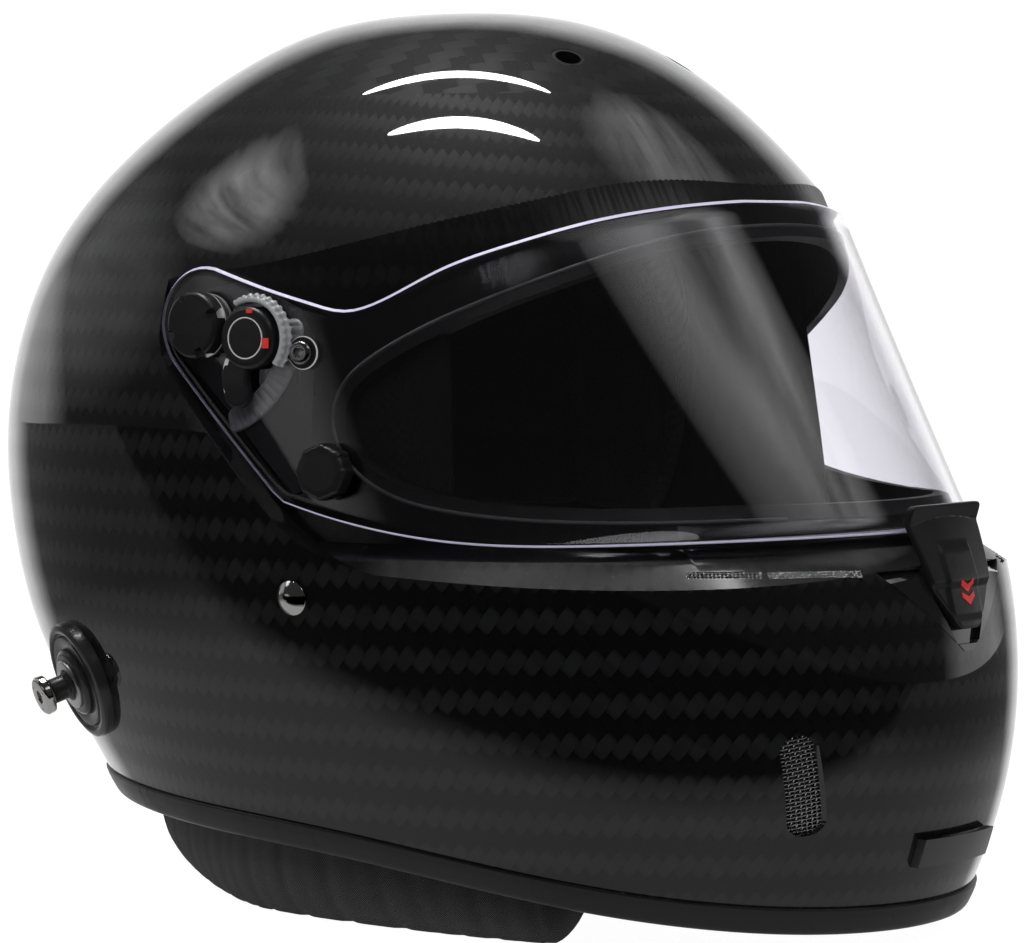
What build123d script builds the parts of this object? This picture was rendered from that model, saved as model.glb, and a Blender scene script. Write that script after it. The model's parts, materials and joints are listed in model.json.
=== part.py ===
from build123d import *
import os
from math import atan2, copysign, cos, degrees, pi, radians, sin, sqrt

# Full-face auto racing helmet with a hinged clear visor.
# Millimetres. +Z is up, the wearer looks along -Y and has the right hand on the -X side.
# The origin lies under the middle of the helmet, on the surface that it stands on.

# Shell: overall reach, wall and the running clearances that the other pieces share
half_length = 180.0
half_width = 122.3
shell_top = 281.2
wall = 4.0
soft_gap = 0.4
turn_fit = 0.05
face_gap = 0.3
overrun = 40.0
far = 300.0

# Shell levels from the lower edge to the crown, as shares of shell_top, of half_length
# (front, rear) and of half_width, and the place of the widest point as a share of half_length
level_shares = [
    (-0.100, 0.808, 0.532, 0.650, 0.020),
    (0.085, 0.956, 0.722, 0.801, 0.011),
    (0.192, 0.996, 0.844, 0.883, 0.017),
    (0.299, 0.997, 0.947, 0.944, 0.028),
    (0.405, 0.961, 0.994, 0.981, 0.039),
    (0.516, 0.881, 1.000, 1.000, 0.056),
    (0.626, 0.781, 0.961, 0.981, 0.075),
    (0.733, 0.663, 0.878, 0.908, 0.094),
    (0.829, 0.533, 0.744, 0.769, 0.100),
    (0.9015, 0.411, 0.594, 0.613, 0.092),
    (0.953, 0.289, 0.453, 0.458, 0.083),
    (0.9826, 0.172, 0.333, 0.313, 0.081),
    (0.9995, -0.030, 0.122, 0.055, 0.078),
]
front_power = 2.15
rear_power = 2.1
skin_points = 16

# Lower edge of the shell in side view, as shares of half_length and of shell_top
edge_shares = [(-1.3, 0.030), (-0.83, 0.036), (-0.64, 0.048), (-0.39, 0.071), (-0.11, 0.094),
               (0.22, 0.107), (0.61, 0.114), (1.3, 0.118)]
trim_below = 3.0
trim_above = 5.5
trim_lip = 1.8

# Visor: one bent sheet, its plan a D with flat ears, its front leaning back
visor_half = 119.5
visor_thick = 2.5
visor_middle = 20.0
visor_rear = 60.0
visor_front = -164.5
visor_front_height = 125.0
visor_lean_share = 0.574
visor_power = 1.95
lens_points = 16
pivot_y = 15.2
pivot_z = 183.1
ear_radius = 17.5
ear_top_angle = 112.0
ear_low_angle = -45.0
# Edges of the visor in side view, as shares of half_length and of shell_top
visor_upper_shares = [(-0.075, 0.6846), (-0.128, 0.6753), (-0.187, 0.6682), (-0.238, 0.6775),
                      (-0.333, 0.713), (-0.428, 0.7408), (-0.509, 0.7635), (-0.603, 0.784)]
visor_lower_shares = [(-0.072, 0.4665), (-0.122, 0.4575), (-0.255, 0.4388), (-0.35, 0.4303),
                      (-0.483, 0.426), (-0.605, 0.4275), (-0.797, 0.4331), (-0.95, 0.438)]

# Recess that the visor lies in: a floor under the visor and a flare up to the shell's skin
recess_side = 5.5
recess_front = 3.7
recess_gap = 2.3
recess_top = 255.0
recess_low = 100.0
flare_height = 119.5
flare_drop = 19.5
flare_front = 24.6
flare_side = 15.3
# Lower rear end of the recess in side view, as shares of half_length and of shell_top
recess_lower_shares = [(-0.075, 0.447), (-0.128, 0.424), (-0.25, 0.398), (-0.44, 0.372)]

# Eye port in side view, as shares of half_length and of shell_top, from its top to its bottom
port_shares = [(-1.3, 0.757), (-0.72, 0.757), (-0.61, 0.754), (-0.545, 0.7345), (-0.452, 0.7016),
               (-0.31, 0.6547), (-0.2256, 0.6223), (-0.174, 0.5928), (-0.1545, 0.555),
               (-0.169, 0.5217), (-0.2417, 0.4811), (-0.378, 0.4584), (-0.585, 0.4506),
               (-0.8, 0.4535), (-1.3, 0.4535)]
gasket_width = 4.0
gasket_lip = 0.6

# Side hardware at the visor's ears
plate_thick = 1.2
arc_thick = 1.3
# Outline of the side plate, as shares of half_length and of shell_top
plate_shares = [(0.15, 0.633), (0.139, 0.683), (0.022, 0.697), (-0.089, 0.6686), (-0.122, 0.633),
                (-0.1194, 0.5334), (-0.1333, 0.4908), (-0.0889, 0.473), (0.0, 0.5317), (0.1333, 0.6117)]
post_radius = 4.95
post_seat = 3.0
washer_radius = 9.2
knob_radius = 10.0
knob_thick = 5.5
knob_notch = 3.4
knob_notch_depth = 2.6
knob_roof = 1.8
arc_outer = 34.0
arc_inner = 28.5
arc_start = 177.0
arc_end = 250.0
arc_teeth = 24
arc_tooth = 0.8
dial_y = -4.4
dial_z = 179.4
dial_radius = 9.4
dial_thick = 5.2
dial_ring_radius = 6.3
dial_ring_depth = 0.6
lever_reach = 21.0
lever_radius = 4.6
lever_bow = 5.5
lever_thick = 3.0
stem_radius = 3.0
stem_head_radius = 5.5
stem_head = 0.9
peg_y = -20.8
peg_z = 175.2
peg_radius = 2.6
peg_head_radius = 3.5
peg_head = 2.6
stud_y = -30.9
stud_z = 140.5
stud_radius = 8.4
stud_thick = 7.0
stud_lobes = 8
stud_lobe_radius = 1.9

# Chin latch and the V-shaped seat that it slides in
latch_top = 131.2
latch_half = 16.5
latch_shoulder = 6.0
latch_waist_half = 12.5
latch_waist = 108.0
latch_tip_half = 5.0
latch_tip = 95.0
latch_proud = 2.0
latch_back = 1.2
latch_lift = 0.8
latch_rise = 3.0
latch_clear = 0.6
latch_thick = 2.7
latch_travel = 4.0
latch_play = 0.5
seat_half = 33.0
seat_top = 113.0
seat_tip = 88.5
seat_tip_half = 2.5
seat_depth = 2.4
seat_proud = 0.2

# Vents, crown holes, chin lip
chin_slot_x = 54.0
chin_slot_top = 67.3
chin_slot_low = 37.5
chin_slot_half = 4.3
chin_slot_shift = 5.0
mesh_depth = 1.2
mesh_thick = 1.0
# Middle and length of each slot in the recess's flare, as shares of half_width
shelf_slot_shares = [(0.556, 0.176), (0.397, 0.229)]
shelf_slot_height = 112.9
shelf_slot_tall = 3.0
shelf_slot_depth = 14.0
crown_hole_x = 28.5
crown_hole_y = -51.5
crown_hole_radius = 4.0
crown_liner = 1.2
lip_half = 18.0
lip_low = 26.0
lip_high = 34.5
lip_proud = 3.0

# Strap rivets and head restraint anchors
rivet_y = -18.8
rivet_z = 103.0
rivet_radius = 5.25
rivet_dome = 3.0
rivet_shank = 2.4
rivet_washer_radius = 7.0
rivet_washer = 1.2
anchor_y = 91.8
anchor_z = 69.5
anchor_radius = 19.2
anchor_rim = 3.0
anchor_ring_radius = 11.0
anchor_ring = 1.6
anchor_washer_radius = 8.0
anchor_washer = 1.2
anchor_neck_radius = 4.0
anchor_neck = 7.0
anchor_head_radius = 6.4
anchor_head = 3.0
anchor_screw_radius = 3.0
anchor_screw_gap = 0.15
anchor_nut_radius = 8.0
anchor_nut = 2.5

# Head space and the soft goods round it
head_top = 243.0
head_half_length = 108.0
head_half_width = 82.0
head_middle = 27.0
# Levels of the head space, as shares of head_top and of its half length and half width
head_shares = [(-0.1, 0.80), (0.18, 0.84), (0.4, 0.93), (0.6, 1.0), (0.74, 0.985), (0.86, 0.86),
               (0.94, 0.65), (0.985, 0.38), (1.0, 0.1)]
liner_low = 97.0
brow_low = 214.0
brow_rear = -24.0
crown_pad_thick = 9.0
crown_pad_low = 120.0
chin_foam_thick = 20.0
chin_foam_low = 38.0
chin_foam_high = 98.0
chin_foam_rear = -112.0
cheek_low = 38.5
cheek_high = 94.0
cheek_front = -102.0
cheek_rear = 48.0
cheek_back_gap = 7.5
roll_half = 11.5
roll_tall = 17.0
roll_flat = 0.5
roll_inset = 18.5
roll_rise = 15.0
roll_rise_start = 25.0
roll_rise_end = 125.0
roll_stations = 15
roll_start = 55.0
strap_thick = 1.8
strap_width = 20.0
strap_y = -19.0
strap_gap = 1.6
strap_floor = 35.4
strap_rise = 4.0
strap_turn_x = 60.0
strap_end_x = 14.0
strap_end_z = 16.0
ring_wire = 1.6
ring_half = 13.0


skins_made = {}


def raised(value, power):
    """The value to a power, with its sign kept."""
    return copysign(abs(value) ** power, value)


def even_steps(count):
    """Even parameters for a spline, so that neighbouring sections match point by point."""
    return [step / count for step in range(count + 1)]


def skin_middle(level, inset):
    return level[4] * (half_length - inset)


def skin_wire(level, inset):
    """One level of the skin: two half superellipses that meet at the widest place."""
    height_share, front_share, rear_share, width_share, _ = level
    long_half = half_length - inset
    middle = skin_middle(level, inset)
    points = []
    for step in range(skin_points):
        turn = 2 * pi * step / skin_points
        ahead = cos(turn) > 0
        power = 2 / (front_power if ahead else rear_power)
        reach = front_share * long_half + middle if ahead else rear_share * long_half - middle
        across = width_share * (half_width - inset) * raised(sin(turn), power)
        along = middle - reach * raised(cos(turn), power)
        points.append(Vector(across, along, height_share * (shell_top - inset)))
    return Wire([Edge.make_spline(points, periodic=True, parameters=even_steps(skin_points))])


def skin_solid(inset):
    """The solid inside the shell's skin, moved in by the inset on every side."""
    if inset not in skins_made:
        skins_made[inset] = Part() + Solid.make_loft([skin_wire(level, inset) for level in level_shares])
    return skins_made[inset]


def skin_patch(prism, high, low):
    """The layer of a prism that lies between two depths under the skin."""
    return (prism & skin_solid(high)) - skin_solid(low)


def skin_level(height, inset=0):
    """The level of the skin at one height, between the two rows that hold it."""
    share = height / (shell_top - inset)
    for low, high in zip(level_shares, level_shares[1:]):
        if low[0] <= share <= high[0]:
            part = (share - low[0]) / (high[0] - low[0])
            return tuple(a + part * (b - a) for a, b in zip(low, high))
    return level_shares[-1]


def skin_width(along, height, inset=0):
    """How far the skin, moved in by the inset, stands from the middle plane; zero past its ends."""
    level = skin_level(height, inset)
    long_half, middle = half_length - inset, skin_middle(level, inset)
    ahead = along < middle
    power = front_power if ahead else rear_power
    reach = level[1] * long_half + middle if ahead else level[2] * long_half - middle
    left = max(1 - (abs(along - middle) / reach) ** power, 0)
    return level[3] * (half_width - inset) * left ** (1 / power)


def skin_normal(side, along, height, probe=wall / 4):
    """The outward direction of the skin at one place."""
    by_length = (skin_width(along + probe, height) - skin_width(along - probe, height)) / (2 * probe)
    by_height = (skin_width(along, height + probe) - skin_width(along, height - probe)) / (2 * probe)
    return Vector(side, -by_length, -by_height).normalized()


def lens_front(height):
    return visor_front + visor_lean_share * (height - visor_front_height)


def lens_wire(height, half, front, rear):
    """A D in plan: a half superellipse in front, straight sides and a straight back."""
    points = []
    for step in range(lens_points + 1):
        turn = pi * (step / lens_points - 1 / 2)
        ahead = cos(turn) ** (2 / visor_power) if 0 < step < lens_points else 0
        across = half * raised(sin(turn), 2 / visor_power)
        points.append(Vector(across, visor_middle + (front - visor_middle) * ahead, height))
    bow = Edge.make_spline(points, parameters=even_steps(lens_points))
    back = [points[-1], Vector(half, rear, height), Vector(-half, rear, height), points[0]]
    return Wire([bow] + [Edge.make_line(a, b) for a, b in zip(back, back[1:])])


def lens_solid(side_inset, front_inset, rear, low=recess_low, high=recess_top):
    """The solid under one of the visor's parallel surfaces."""
    wires = [lens_wire(z, visor_half - side_inset, lens_front(z) + front_inset, rear) for z in (low, high)]
    return Part() + Solid.make_loft(wires, True)


def flared_solid(depth, rear):
    """The floor of the recess moved in by a depth, with the flare at its lower end."""
    half = visor_half - recess_side - depth
    knee = flare_height - depth / 2
    front = lens_front(knee) + recess_front + depth
    rows = [
        (-overrun, half + 2 * flare_side, front - 2 * flare_front),
        (knee - 2 * flare_drop, half + 2 * flare_side, front - 2 * flare_front),
        (knee, half, front),
        (shell_top + overrun, half, lens_front(shell_top + overrun) + recess_front + depth),
    ]
    wires = [lens_wire(z, wide, ahead, rear) for z, wide, ahead in rows]
    return Part() + Solid.make_loft(wires, True)


def lens_width(along, height, inset=0.0):
    """How far the visor's surface, moved in by the inset, stands from the middle plane."""
    reach = visor_middle - lens_front(height) - inset
    ahead = max(visor_middle - along, 0)
    return (visor_half - inset) * (1 - (ahead / reach) ** visor_power) ** (1 / visor_power)


def lens_plane(side, along, height):
    """A plane on the visor's outside, its Z axis outward and its X axis to the front."""
    probe = visor_thick
    by_length = (lens_width(along + probe, height) - lens_width(along - probe, height)) / (2 * probe)
    by_height = (lens_width(along, height + probe) - lens_width(along, height - probe)) / (2 * probe)
    normal = Vector(side, -by_length, -by_height).normalized()
    return Plane(origin=(side * lens_width(along, height), along, height), x_dir=(0, -1, 0), z_dir=normal)


def side_point(share):
    """A place in side view from its shares of half_length and shell_top."""
    return (share[0] * half_length, share[1] * shell_top)


def side_prism(face, low=-far, high=far):
    """A side-view outline carried from one side of the helmet to the other."""
    plane = Plane(origin=(low, 0, 0), x_dir=(0, 1, 0), z_dir=(1, 0, 0))
    return extrude(plane * face, amount=high - low)


def circle_at(y, z, radius):
    return Pos(y, z) * Circle(radius)


def ear_point(angle, radius):
    return (pivot_y + radius * cos(radians(angle)), pivot_z + radius * sin(radians(angle)))


def visor_outline():
    """Ear, upper edge with its dip, and lower edge, open far ahead of the helmet."""
    top_start, low_start = ear_point(ear_top_angle, ear_radius), ear_point(ear_low_angle, ear_radius)
    upper = [side_point(s) for s in visor_upper_shares]
    lower = [side_point(s) for s in visor_lower_shares]
    ahead_up, ahead_low = (-half_length - overrun, upper[-1][1]), (-half_length - overrun, lower[-1][1])
    edges = Spline([top_start] + upper) + Polyline(upper[-1], ahead_up, ahead_low, lower[-1])
    edges += Spline(lower[::-1])
    edges += Polyline(lower[0], low_start, (pivot_y, pivot_z), top_start)
    return make_face(edges) + circle_at(pivot_y, pivot_z, ear_radius)


def recess_outline():
    """Round the ear with a gap, down the rear edge of the visor, and open to the top and front."""
    radius = ear_radius + recess_gap
    low_start = ear_point(ear_low_angle, radius)
    lower = [side_point(s) for s in recess_lower_shares]
    corner = (-half_length - overrun, lower[-1][1] - overrun)
    top_rear, top_front = (pivot_y + radius, recess_top), (-half_length - overrun, recess_top)
    edges = Polyline(low_start, lower[0]) + Spline(lower)
    edges += Polyline(lower[-1], (lower[-1][0], corner[1]), corner, top_front, top_rear,
                      (pivot_y + radius, pivot_z), (pivot_y, pivot_z), low_start)
    return make_face(edges) + circle_at(pivot_y, pivot_z, radius)


def port_outline(inset=0.0):
    """Side view of the eye port, its edge moved into the opening by the inset."""
    corners = [side_point(s) for s in port_shares]
    points = []
    for before, here, after in zip(corners, corners[1:], corners[2:]):
        along = Vector(after[0] - before[0], after[1] - before[1], 0).normalized()
        points.append((here[0] + inset * along.Y, here[1] - inset * along.X))
    ahead = -half_length - overrun
    top, low = (ahead, points[0][1]), (ahead, points[-1][1])
    return make_face(Polyline(top, points[0]) + Spline(points) + Polyline(points[-1], low, top))


def below_edge(lift):
    """Everything under the shell's lower edge, with the edge lifted or dropped."""
    points = [(y, z + lift) for y, z in (side_point(s) for s in edge_shares)]
    floor = -shell_top
    edges = Spline(points) + Polyline(points[-1], (points[-1][0], floor), (points[0][0], floor), points[0])
    return side_prism(make_face(edges))


def block(low, high):
    """A box from its lowest to its highest corner."""
    size = [b - a for a, b in zip(low, high)]
    return Pos(*[(a + b) / 2 for a, b in zip(low, high)]) * Box(*size)


def post(plane, radius, low, high):
    """A round bar along a plane's Z axis."""
    return plane * Pos(0, 0, (low + high) / 2) * Cylinder(radius, high - low)


def pivot_plane(side):
    return Plane(origin=(side * visor_half, pivot_y, pivot_z), x_dir=(0, -1, 0), z_dir=(side, 0, 0))


def rivet_plane(side):
    place = (side * skin_width(rivet_y, rivet_z), rivet_y, rivet_z)
    return Plane(origin=place, x_dir=(0, -1, 0), z_dir=skin_normal(side, rivet_y, rivet_z))


def anchor_plane(side):
    place = (side * skin_width(anchor_y, anchor_z), anchor_y, anchor_z)
    return Plane(origin=place, x_dir=(0, 0, 1), z_dir=skin_normal(side, anchor_y, anchor_z))


def crown_plane(side):
    """A plane at a crown hole, its Z axis out of the dome."""
    low, high = shell_top / 2, shell_top
    for _ in range(40):
        height = (low + high) / 2
        if skin_width(crown_hole_y, height) < crown_hole_x:
            high = height
        else:
            low = height
    normal = skin_normal(1, crown_hole_y, low)
    return Plane(origin=(side * crown_hole_x, crown_hole_y, low), z_dir=(side * normal.X, normal.Y, normal.Z))


def chin_slot_face(side, inset=0.0):
    """The slanted slot in front view, with round ends."""
    half = chin_slot_half - inset
    top = (side * (chin_slot_x + chin_slot_shift / 2), chin_slot_top - chin_slot_half)
    low = (side * (chin_slot_x - chin_slot_shift / 2), chin_slot_low + chin_slot_half)
    middle = ((top[0] + low[0]) / 2, (top[1] + low[1]) / 2)
    length = sqrt((top[0] - low[0]) ** 2 + (top[1] - low[1]) ** 2)
    angle = degrees(atan2(top[1] - low[1], top[0] - low[0]))
    return Pos(*middle) * Rot(0, 0, angle) * SlotCenterToCenter(length, 2 * half)


def front_prism(face, low=-far, high=0):
    """A front-view outline, X across and Z up, carried along Y."""
    plane = Plane(origin=(0, high, 0), x_dir=(1, 0, 0), z_dir=(0, -1, 0))
    return extrude(plane * face, amount=high - low)


def flare_point(across, height):
    """A place on the recess's flare and the directions along and out of it."""
    part = (flare_height - height) / flare_drop
    half = visor_half - recess_side + part * flare_side
    front = lens_front(flare_height) + recess_front - part * flare_front
    return visor_middle + (front - visor_middle) * (1 - (abs(across) / half) ** visor_power) ** (1 / visor_power)


def shelf_slot_places():
    """Distance from the middle and length of each slot in the flare."""
    return [(place * half_width, length * half_width) for place, length in shelf_slot_shares]


def shelf_slot_plane(side, across):
    """A plane on the flare at a slot, its X axis along the slot and its Z axis outward."""
    probe, height = shelf_slot_tall / 3, shelf_slot_height
    by_width = (flare_point(across + probe, height) - flare_point(across - probe, height)) / (2 * probe)
    by_height = (flare_point(across, height + probe) - flare_point(across, height - probe)) / (2 * probe)
    along = Vector(side, by_width, 0).normalized()
    normal = Vector(side * by_width, -1, by_height).normalized()
    return Plane(origin=(side * across, flare_point(across, height), height), x_dir=along, z_dir=normal)


def shelf_slot(side, across, length, low, high):
    plane = shelf_slot_plane(side, across)
    return plane * Pos(0, 0, (low + high) / 2) * Box(length, shelf_slot_tall, high - low)


def seat_outline():
    corners = [(-seat_half, seat_top), (-seat_tip_half, seat_tip)]
    corners += [(-x, z) for x, z in reversed(corners)]
    return make_face(Polyline(*corners, close=True))


def latch_outline(grow=0.0, drop=0.0):
    """Front view of the latch: wide at the top, a waist and a narrow tip."""
    tip, waist = latch_tip - grow - drop, latch_waist - drop
    right = [(latch_tip_half + grow, tip), (latch_waist_half + grow, waist),
             (latch_half + grow, latch_top - latch_shoulder), (latch_half + grow, latch_top + grow)]
    left = [(-x, z) for x, z in reversed(right)]
    return make_face(Polyline(*right, *left, close=True))


def make_cavity(extra=0.0):
    """The room inside the shell, behind its wall and behind the recess."""
    return skin_solid(wall + extra) & flared_solid(wall + extra, far)


def make_shell(skin, cavity, recess_floor):
    recess = side_prism(recess_outline()) - recess_floor
    shell = skin - cavity - recess - side_prism(port_outline()) - below_edge(0)
    shell -= front_prism(seat_outline(), high=-half_length / 2) - skin_solid(seat_depth)
    for side in (-1, 1):
        seat = visor_half - recess_side - post_seat
        shell -= post(pivot_plane(side), post_radius + turn_fit, seat - visor_half, 0)
        shell -= post(rivet_plane(side), rivet_shank + turn_fit, -overrun, overrun)
        shell -= post(anchor_plane(side), anchor_screw_radius + anchor_screw_gap, -overrun, overrun)
        shell -= post(crown_plane(side), crown_hole_radius + crown_liner, -overrun / 2, overrun / 2)
        shell -= front_prism(chin_slot_face(side), high=-half_length / 2)
        for across, length in shelf_slot_places():
            shell -= shelf_slot(side, across, length, -shelf_slot_depth, shelf_slot_tall)
    return shell


def make_gasket():
    """Rubber round the eye port, a little proud of the recess floor and of the inner wall."""
    port = side_prism(port_outline())
    outer = (port & flared_solid(-gasket_lip, visor_rear)) & skin_solid(-gasket_lip)
    inner = (port & flared_solid(wall, far)) & skin_solid(wall)
    return outer - inner - side_prism(port_outline(gasket_width))


def make_trim():
    """U-shaped rubber over the shell's lower edge: an outer lip, an inner lip and a foot."""
    band = below_edge(trim_above) - below_edge(-trim_below)
    outside = (band & skin_solid(-trim_lip)) - skin_solid(0)
    inside = (band & skin_solid(wall)) - skin_solid(wall + trim_lip)
    foot = (below_edge(0) - below_edge(-trim_below)) & skin_solid(-trim_lip)
    return outside + inside + (foot - skin_solid(wall + trim_lip))


def make_visor():
    visor = side_prism(visor_outline()) & lens_solid(0, 0, visor_rear)
    visor -= lens_solid(visor_thick, visor_thick, far)
    stems = ((dial_y, dial_z, stem_radius), (peg_y, peg_z, peg_radius), (stud_y, stud_z, stem_radius))
    for side in (-1, 1):
        visor -= post(pivot_plane(side), post_radius + turn_fit, -overrun / 4, overrun / 4)
        for y, z, radius in stems:
            visor -= post(lens_plane(side, y, z), radius + turn_fit, -overrun / 4, overrun / 4)
    return visor


def make_side_plate(side, floor):
    """Thin plate that follows the recess floor under the visor's ear."""
    face = make_face(Polyline(*[side_point(s) for s in plate_shares], close=True))
    plate = (half_prism(side, face) & flared_solid(-plate_thick, visor_rear)) - floor
    return plate - post(pivot_plane(side), post_radius + turn_fit, -overrun / 4, 0)


def half_prism(side, face):
    return side_prism(face, 0, far) if side > 0 else side_prism(face, -far, 0)


def arc_outline():
    """A ratchet sector round the pivot with small teeth on its outside."""
    outer = []
    for step in range(2 * arc_teeth + 1):
        angle = arc_start + (arc_end - arc_start) * step / (2 * arc_teeth)
        outer.append(ear_point(angle, arc_outer - arc_tooth * (step % 2)))
    inner = ThreePointArc(ear_point(arc_end, arc_inner), ear_point((arc_start + arc_end) / 2, arc_inner),
                          ear_point(arc_start, arc_inner))
    edges = Polyline(*outer) + Line(outer[-1], ear_point(arc_end, arc_inner)) + inner
    return make_face(edges + Line(ear_point(arc_start, arc_inner), outer[0]))


def make_arc(side):
    low, high = plate_thick, plate_thick + arc_thick
    return (half_prism(side, arc_outline()) & flared_solid(-high, visor_rear)) - flared_solid(-low, far)


def make_pivot_post(side):
    seat = recess_side + post_seat
    return post(pivot_plane(side), post_radius, -seat, face_gap + knob_thick - knob_roof)


def make_pivot_washer(side):
    plane = pivot_plane(side)
    low, high = plate_thick - recess_side, -visor_thick - 2 * face_gap
    ring = post(plane, washer_radius, low, high)
    return ring - post(plane, post_radius + turn_fit, low, high)


def make_pivot_knob(side):
    """Round cap with four grip notches, screwed on the post."""
    plane = pivot_plane(side)
    knob = post(plane, knob_radius, face_gap, face_gap + knob_thick)
    knob -= post(plane, post_radius + turn_fit, face_gap, face_gap + knob_thick - knob_roof)
    for step in range(4):
        notch = Rot(0, 0, 360 * step / 4 + 360 / 16) * Pos(knob_radius, 0, face_gap + knob_thick / 2)
        knob -= plane * notch * Box(2 * knob_notch_depth, knob_notch, knob_thick)
    return knob


def make_dial(side):
    """Lock dial on the visor: a round button, a curved lever below it and a stem with a head."""
    plane = lens_plane(side, dial_y, dial_z)
    dial = post(plane, dial_radius, face_gap, face_gap + dial_thick)
    groove = Circle(dial_ring_radius + dial_ring_depth / 2) - Circle(dial_ring_radius - dial_ring_depth / 2)
    dial -= plane * Pos(0, 0, face_gap + dial_thick) * extrude(groove, amount=-dial_ring_depth)
    tail = -lever_side(side) * (lever_reach - lever_radius)
    end = -lever_side(side) * lever_reach
    root_rear, root_front = (-lever_radius, 0), (lever_radius, 0)
    tail_rear, tail_front = (-lever_radius, tail), (lever_radius, tail)
    outer = ThreePointArc(root_rear, (-lever_radius - lever_bow, tail / 2), tail_rear)
    inner = ThreePointArc(tail_front, (lever_radius - lever_bow, tail / 2), root_front)
    tip = ThreePointArc(tail_rear, (0, end), tail_front)
    face = make_face(outer + tip + inner + Line(root_front, root_rear))
    dial += plane * Pos(0, 0, face_gap) * extrude(face, amount=lever_thick)
    dial += post(plane, stem_radius, -visor_thick - face_gap, face_gap)
    return dial + post(plane, stem_head_radius, -visor_thick - face_gap - stem_head, -visor_thick - face_gap)


def lever_side(side):
    """The sign of the plane's Y axis against +Z: the planes of the two ears are mirrored."""
    return 1 if lens_plane(side, dial_y, dial_z).y_dir.Z > 0 else -1


def make_peg(side):
    plane = lens_plane(side, peg_y, peg_z)
    peg = post(plane, peg_radius, -visor_thick, peg_head)
    return peg + post(plane, peg_head_radius, face_gap, peg_head)


def make_stud(side):
    """Lobed turning stud that holds tear-off films at their ends."""
    plane = lens_plane(side, stud_y, stud_z)
    face = Circle(stud_radius - stud_lobe_radius / 2)
    for step in range(stud_lobes):
        turn = 2 * pi * step / stud_lobes
        place = stud_radius - stud_lobe_radius
        face += Pos(place * cos(turn), place * sin(turn)) * Circle(stud_lobe_radius)
    stud = plane * Pos(0, 0, 2 * face_gap) * extrude(face, amount=stud_thick)
    stud += post(plane, stem_radius, -visor_thick - face_gap, 2 * face_gap)
    return stud + post(plane, stem_head_radius, -visor_thick - face_gap - stem_head, -visor_thick - face_gap)


def latch_rim(extra):
    """A drum about the pivots, just outside the path of the visor's lower edge."""
    low = side_point(visor_lower_shares[-1])[1]
    reach = sqrt((pivot_y - lens_front(low)) ** 2 + (pivot_z - low) ** 2)
    return side_prism(circle_at(pivot_y, pivot_z, reach + latch_clear + extra))


def make_latch():
    """Tab that lies in its seat, steps over the shell and stands before the visor's lower edge."""
    prism = front_prism(latch_outline(), high=-half_length / 2)
    lower = prism & block((-far, -far, 0), (far, 0, seat_top - face_gap))
    upper = prism & block((-far, -far, latch_waist), (far, 0, far))
    lying = skin_patch(lower, -latch_proud, latch_back)
    bridge = skin_patch(upper, -latch_rise, -latch_lift)
    standing = (upper & latch_rim(latch_thick)) - skin_solid(-latch_lift)
    return (lying + bridge + standing) - latch_rim(0)


def make_latch_seat():
    """V-shaped plate set in the skin, with a floor and a channel for the latch to slide down."""
    prism = front_prism(seat_outline(), high=-half_length / 2)
    frame = skin_patch(prism, -seat_proud, seat_depth)
    for drop in (0, latch_travel):
        channel = front_prism(latch_outline(latch_play, drop), high=-half_length / 2)
        frame -= channel - skin_solid(latch_back + face_gap)
    return frame - flared_room()


def flared_room():
    """What lies above and outside the recess floor, so that the seat stops at the flare."""
    return block((-far, -far, flare_height - flare_drop * 2 / 3), (far, far, far)) - flared_solid(0, far)


def make_chin_mesh(side):
    prism = front_prism(chin_slot_face(side), high=-half_length / 2)
    return skin_patch(prism, mesh_depth, mesh_depth + mesh_thick)


def make_shelf_meshes():
    meshes = Part()
    for side in (-1, 1):
        for across, length in shelf_slot_places():
            meshes += shelf_slot(side, across, length, -mesh_depth - mesh_thick, -mesh_depth)
    return meshes


def make_crown_liners():
    rings = Part()
    for side in (-1, 1):
        plane = crown_plane(side)
        tube = post(plane, crown_hole_radius + crown_liner, -overrun / 2, overrun / 2)
        rings += skin_patch(tube - post(plane, crown_hole_radius, -overrun / 2, overrun / 2), 0, wall)
    return rings


def make_chin_lip():
    band = block((-lip_half, -far, lip_low), (lip_half, -half_length / 2, lip_high))
    return skin_patch(band, -lip_proud, 0)


def make_rivet(side):
    """Domed head outside, shank through the wall and the strap, and a clinched end inside."""
    plane = rivet_plane(side)
    dome_radius = (rivet_radius ** 2 + rivet_dome ** 2) / (2 * rivet_dome)
    ball = plane * Pos(0, 0, rivet_dome - dome_radius) * Sphere(dome_radius)
    head = ball & post(plane, rivet_radius, face_gap, rivet_dome)
    foot = -inner_depth(side) - strap_gap - strap_thick - 3 * face_gap
    shank = post(plane, rivet_shank, foot, 2 * face_gap)
    return head + shank + post(plane, rivet_radius, foot - rivet_washer, foot)


def inner_depth(side):
    """Distance along the rivet from the skin to the inner wall."""
    plane = rivet_plane(side)
    return (skin_width(rivet_y, rivet_z) - inner_width(rivet_y, rivet_z)) / abs(plane.z_dir.X)


def inner_width(along, height):
    """Half width of the room inside the shell, behind its wall and behind the flare."""
    knee = flare_height - wall / 2
    part = max(knee - height, 0) / flare_drop
    half = visor_half - recess_side - wall + part * flare_side
    front = lens_front(knee) + recess_front + wall - part * flare_front
    ahead = max(visor_middle - along, 0) / (visor_middle - front)
    return min(half * (1 - ahead ** visor_power) ** (1 / visor_power), skin_width(along, height, wall))


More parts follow.
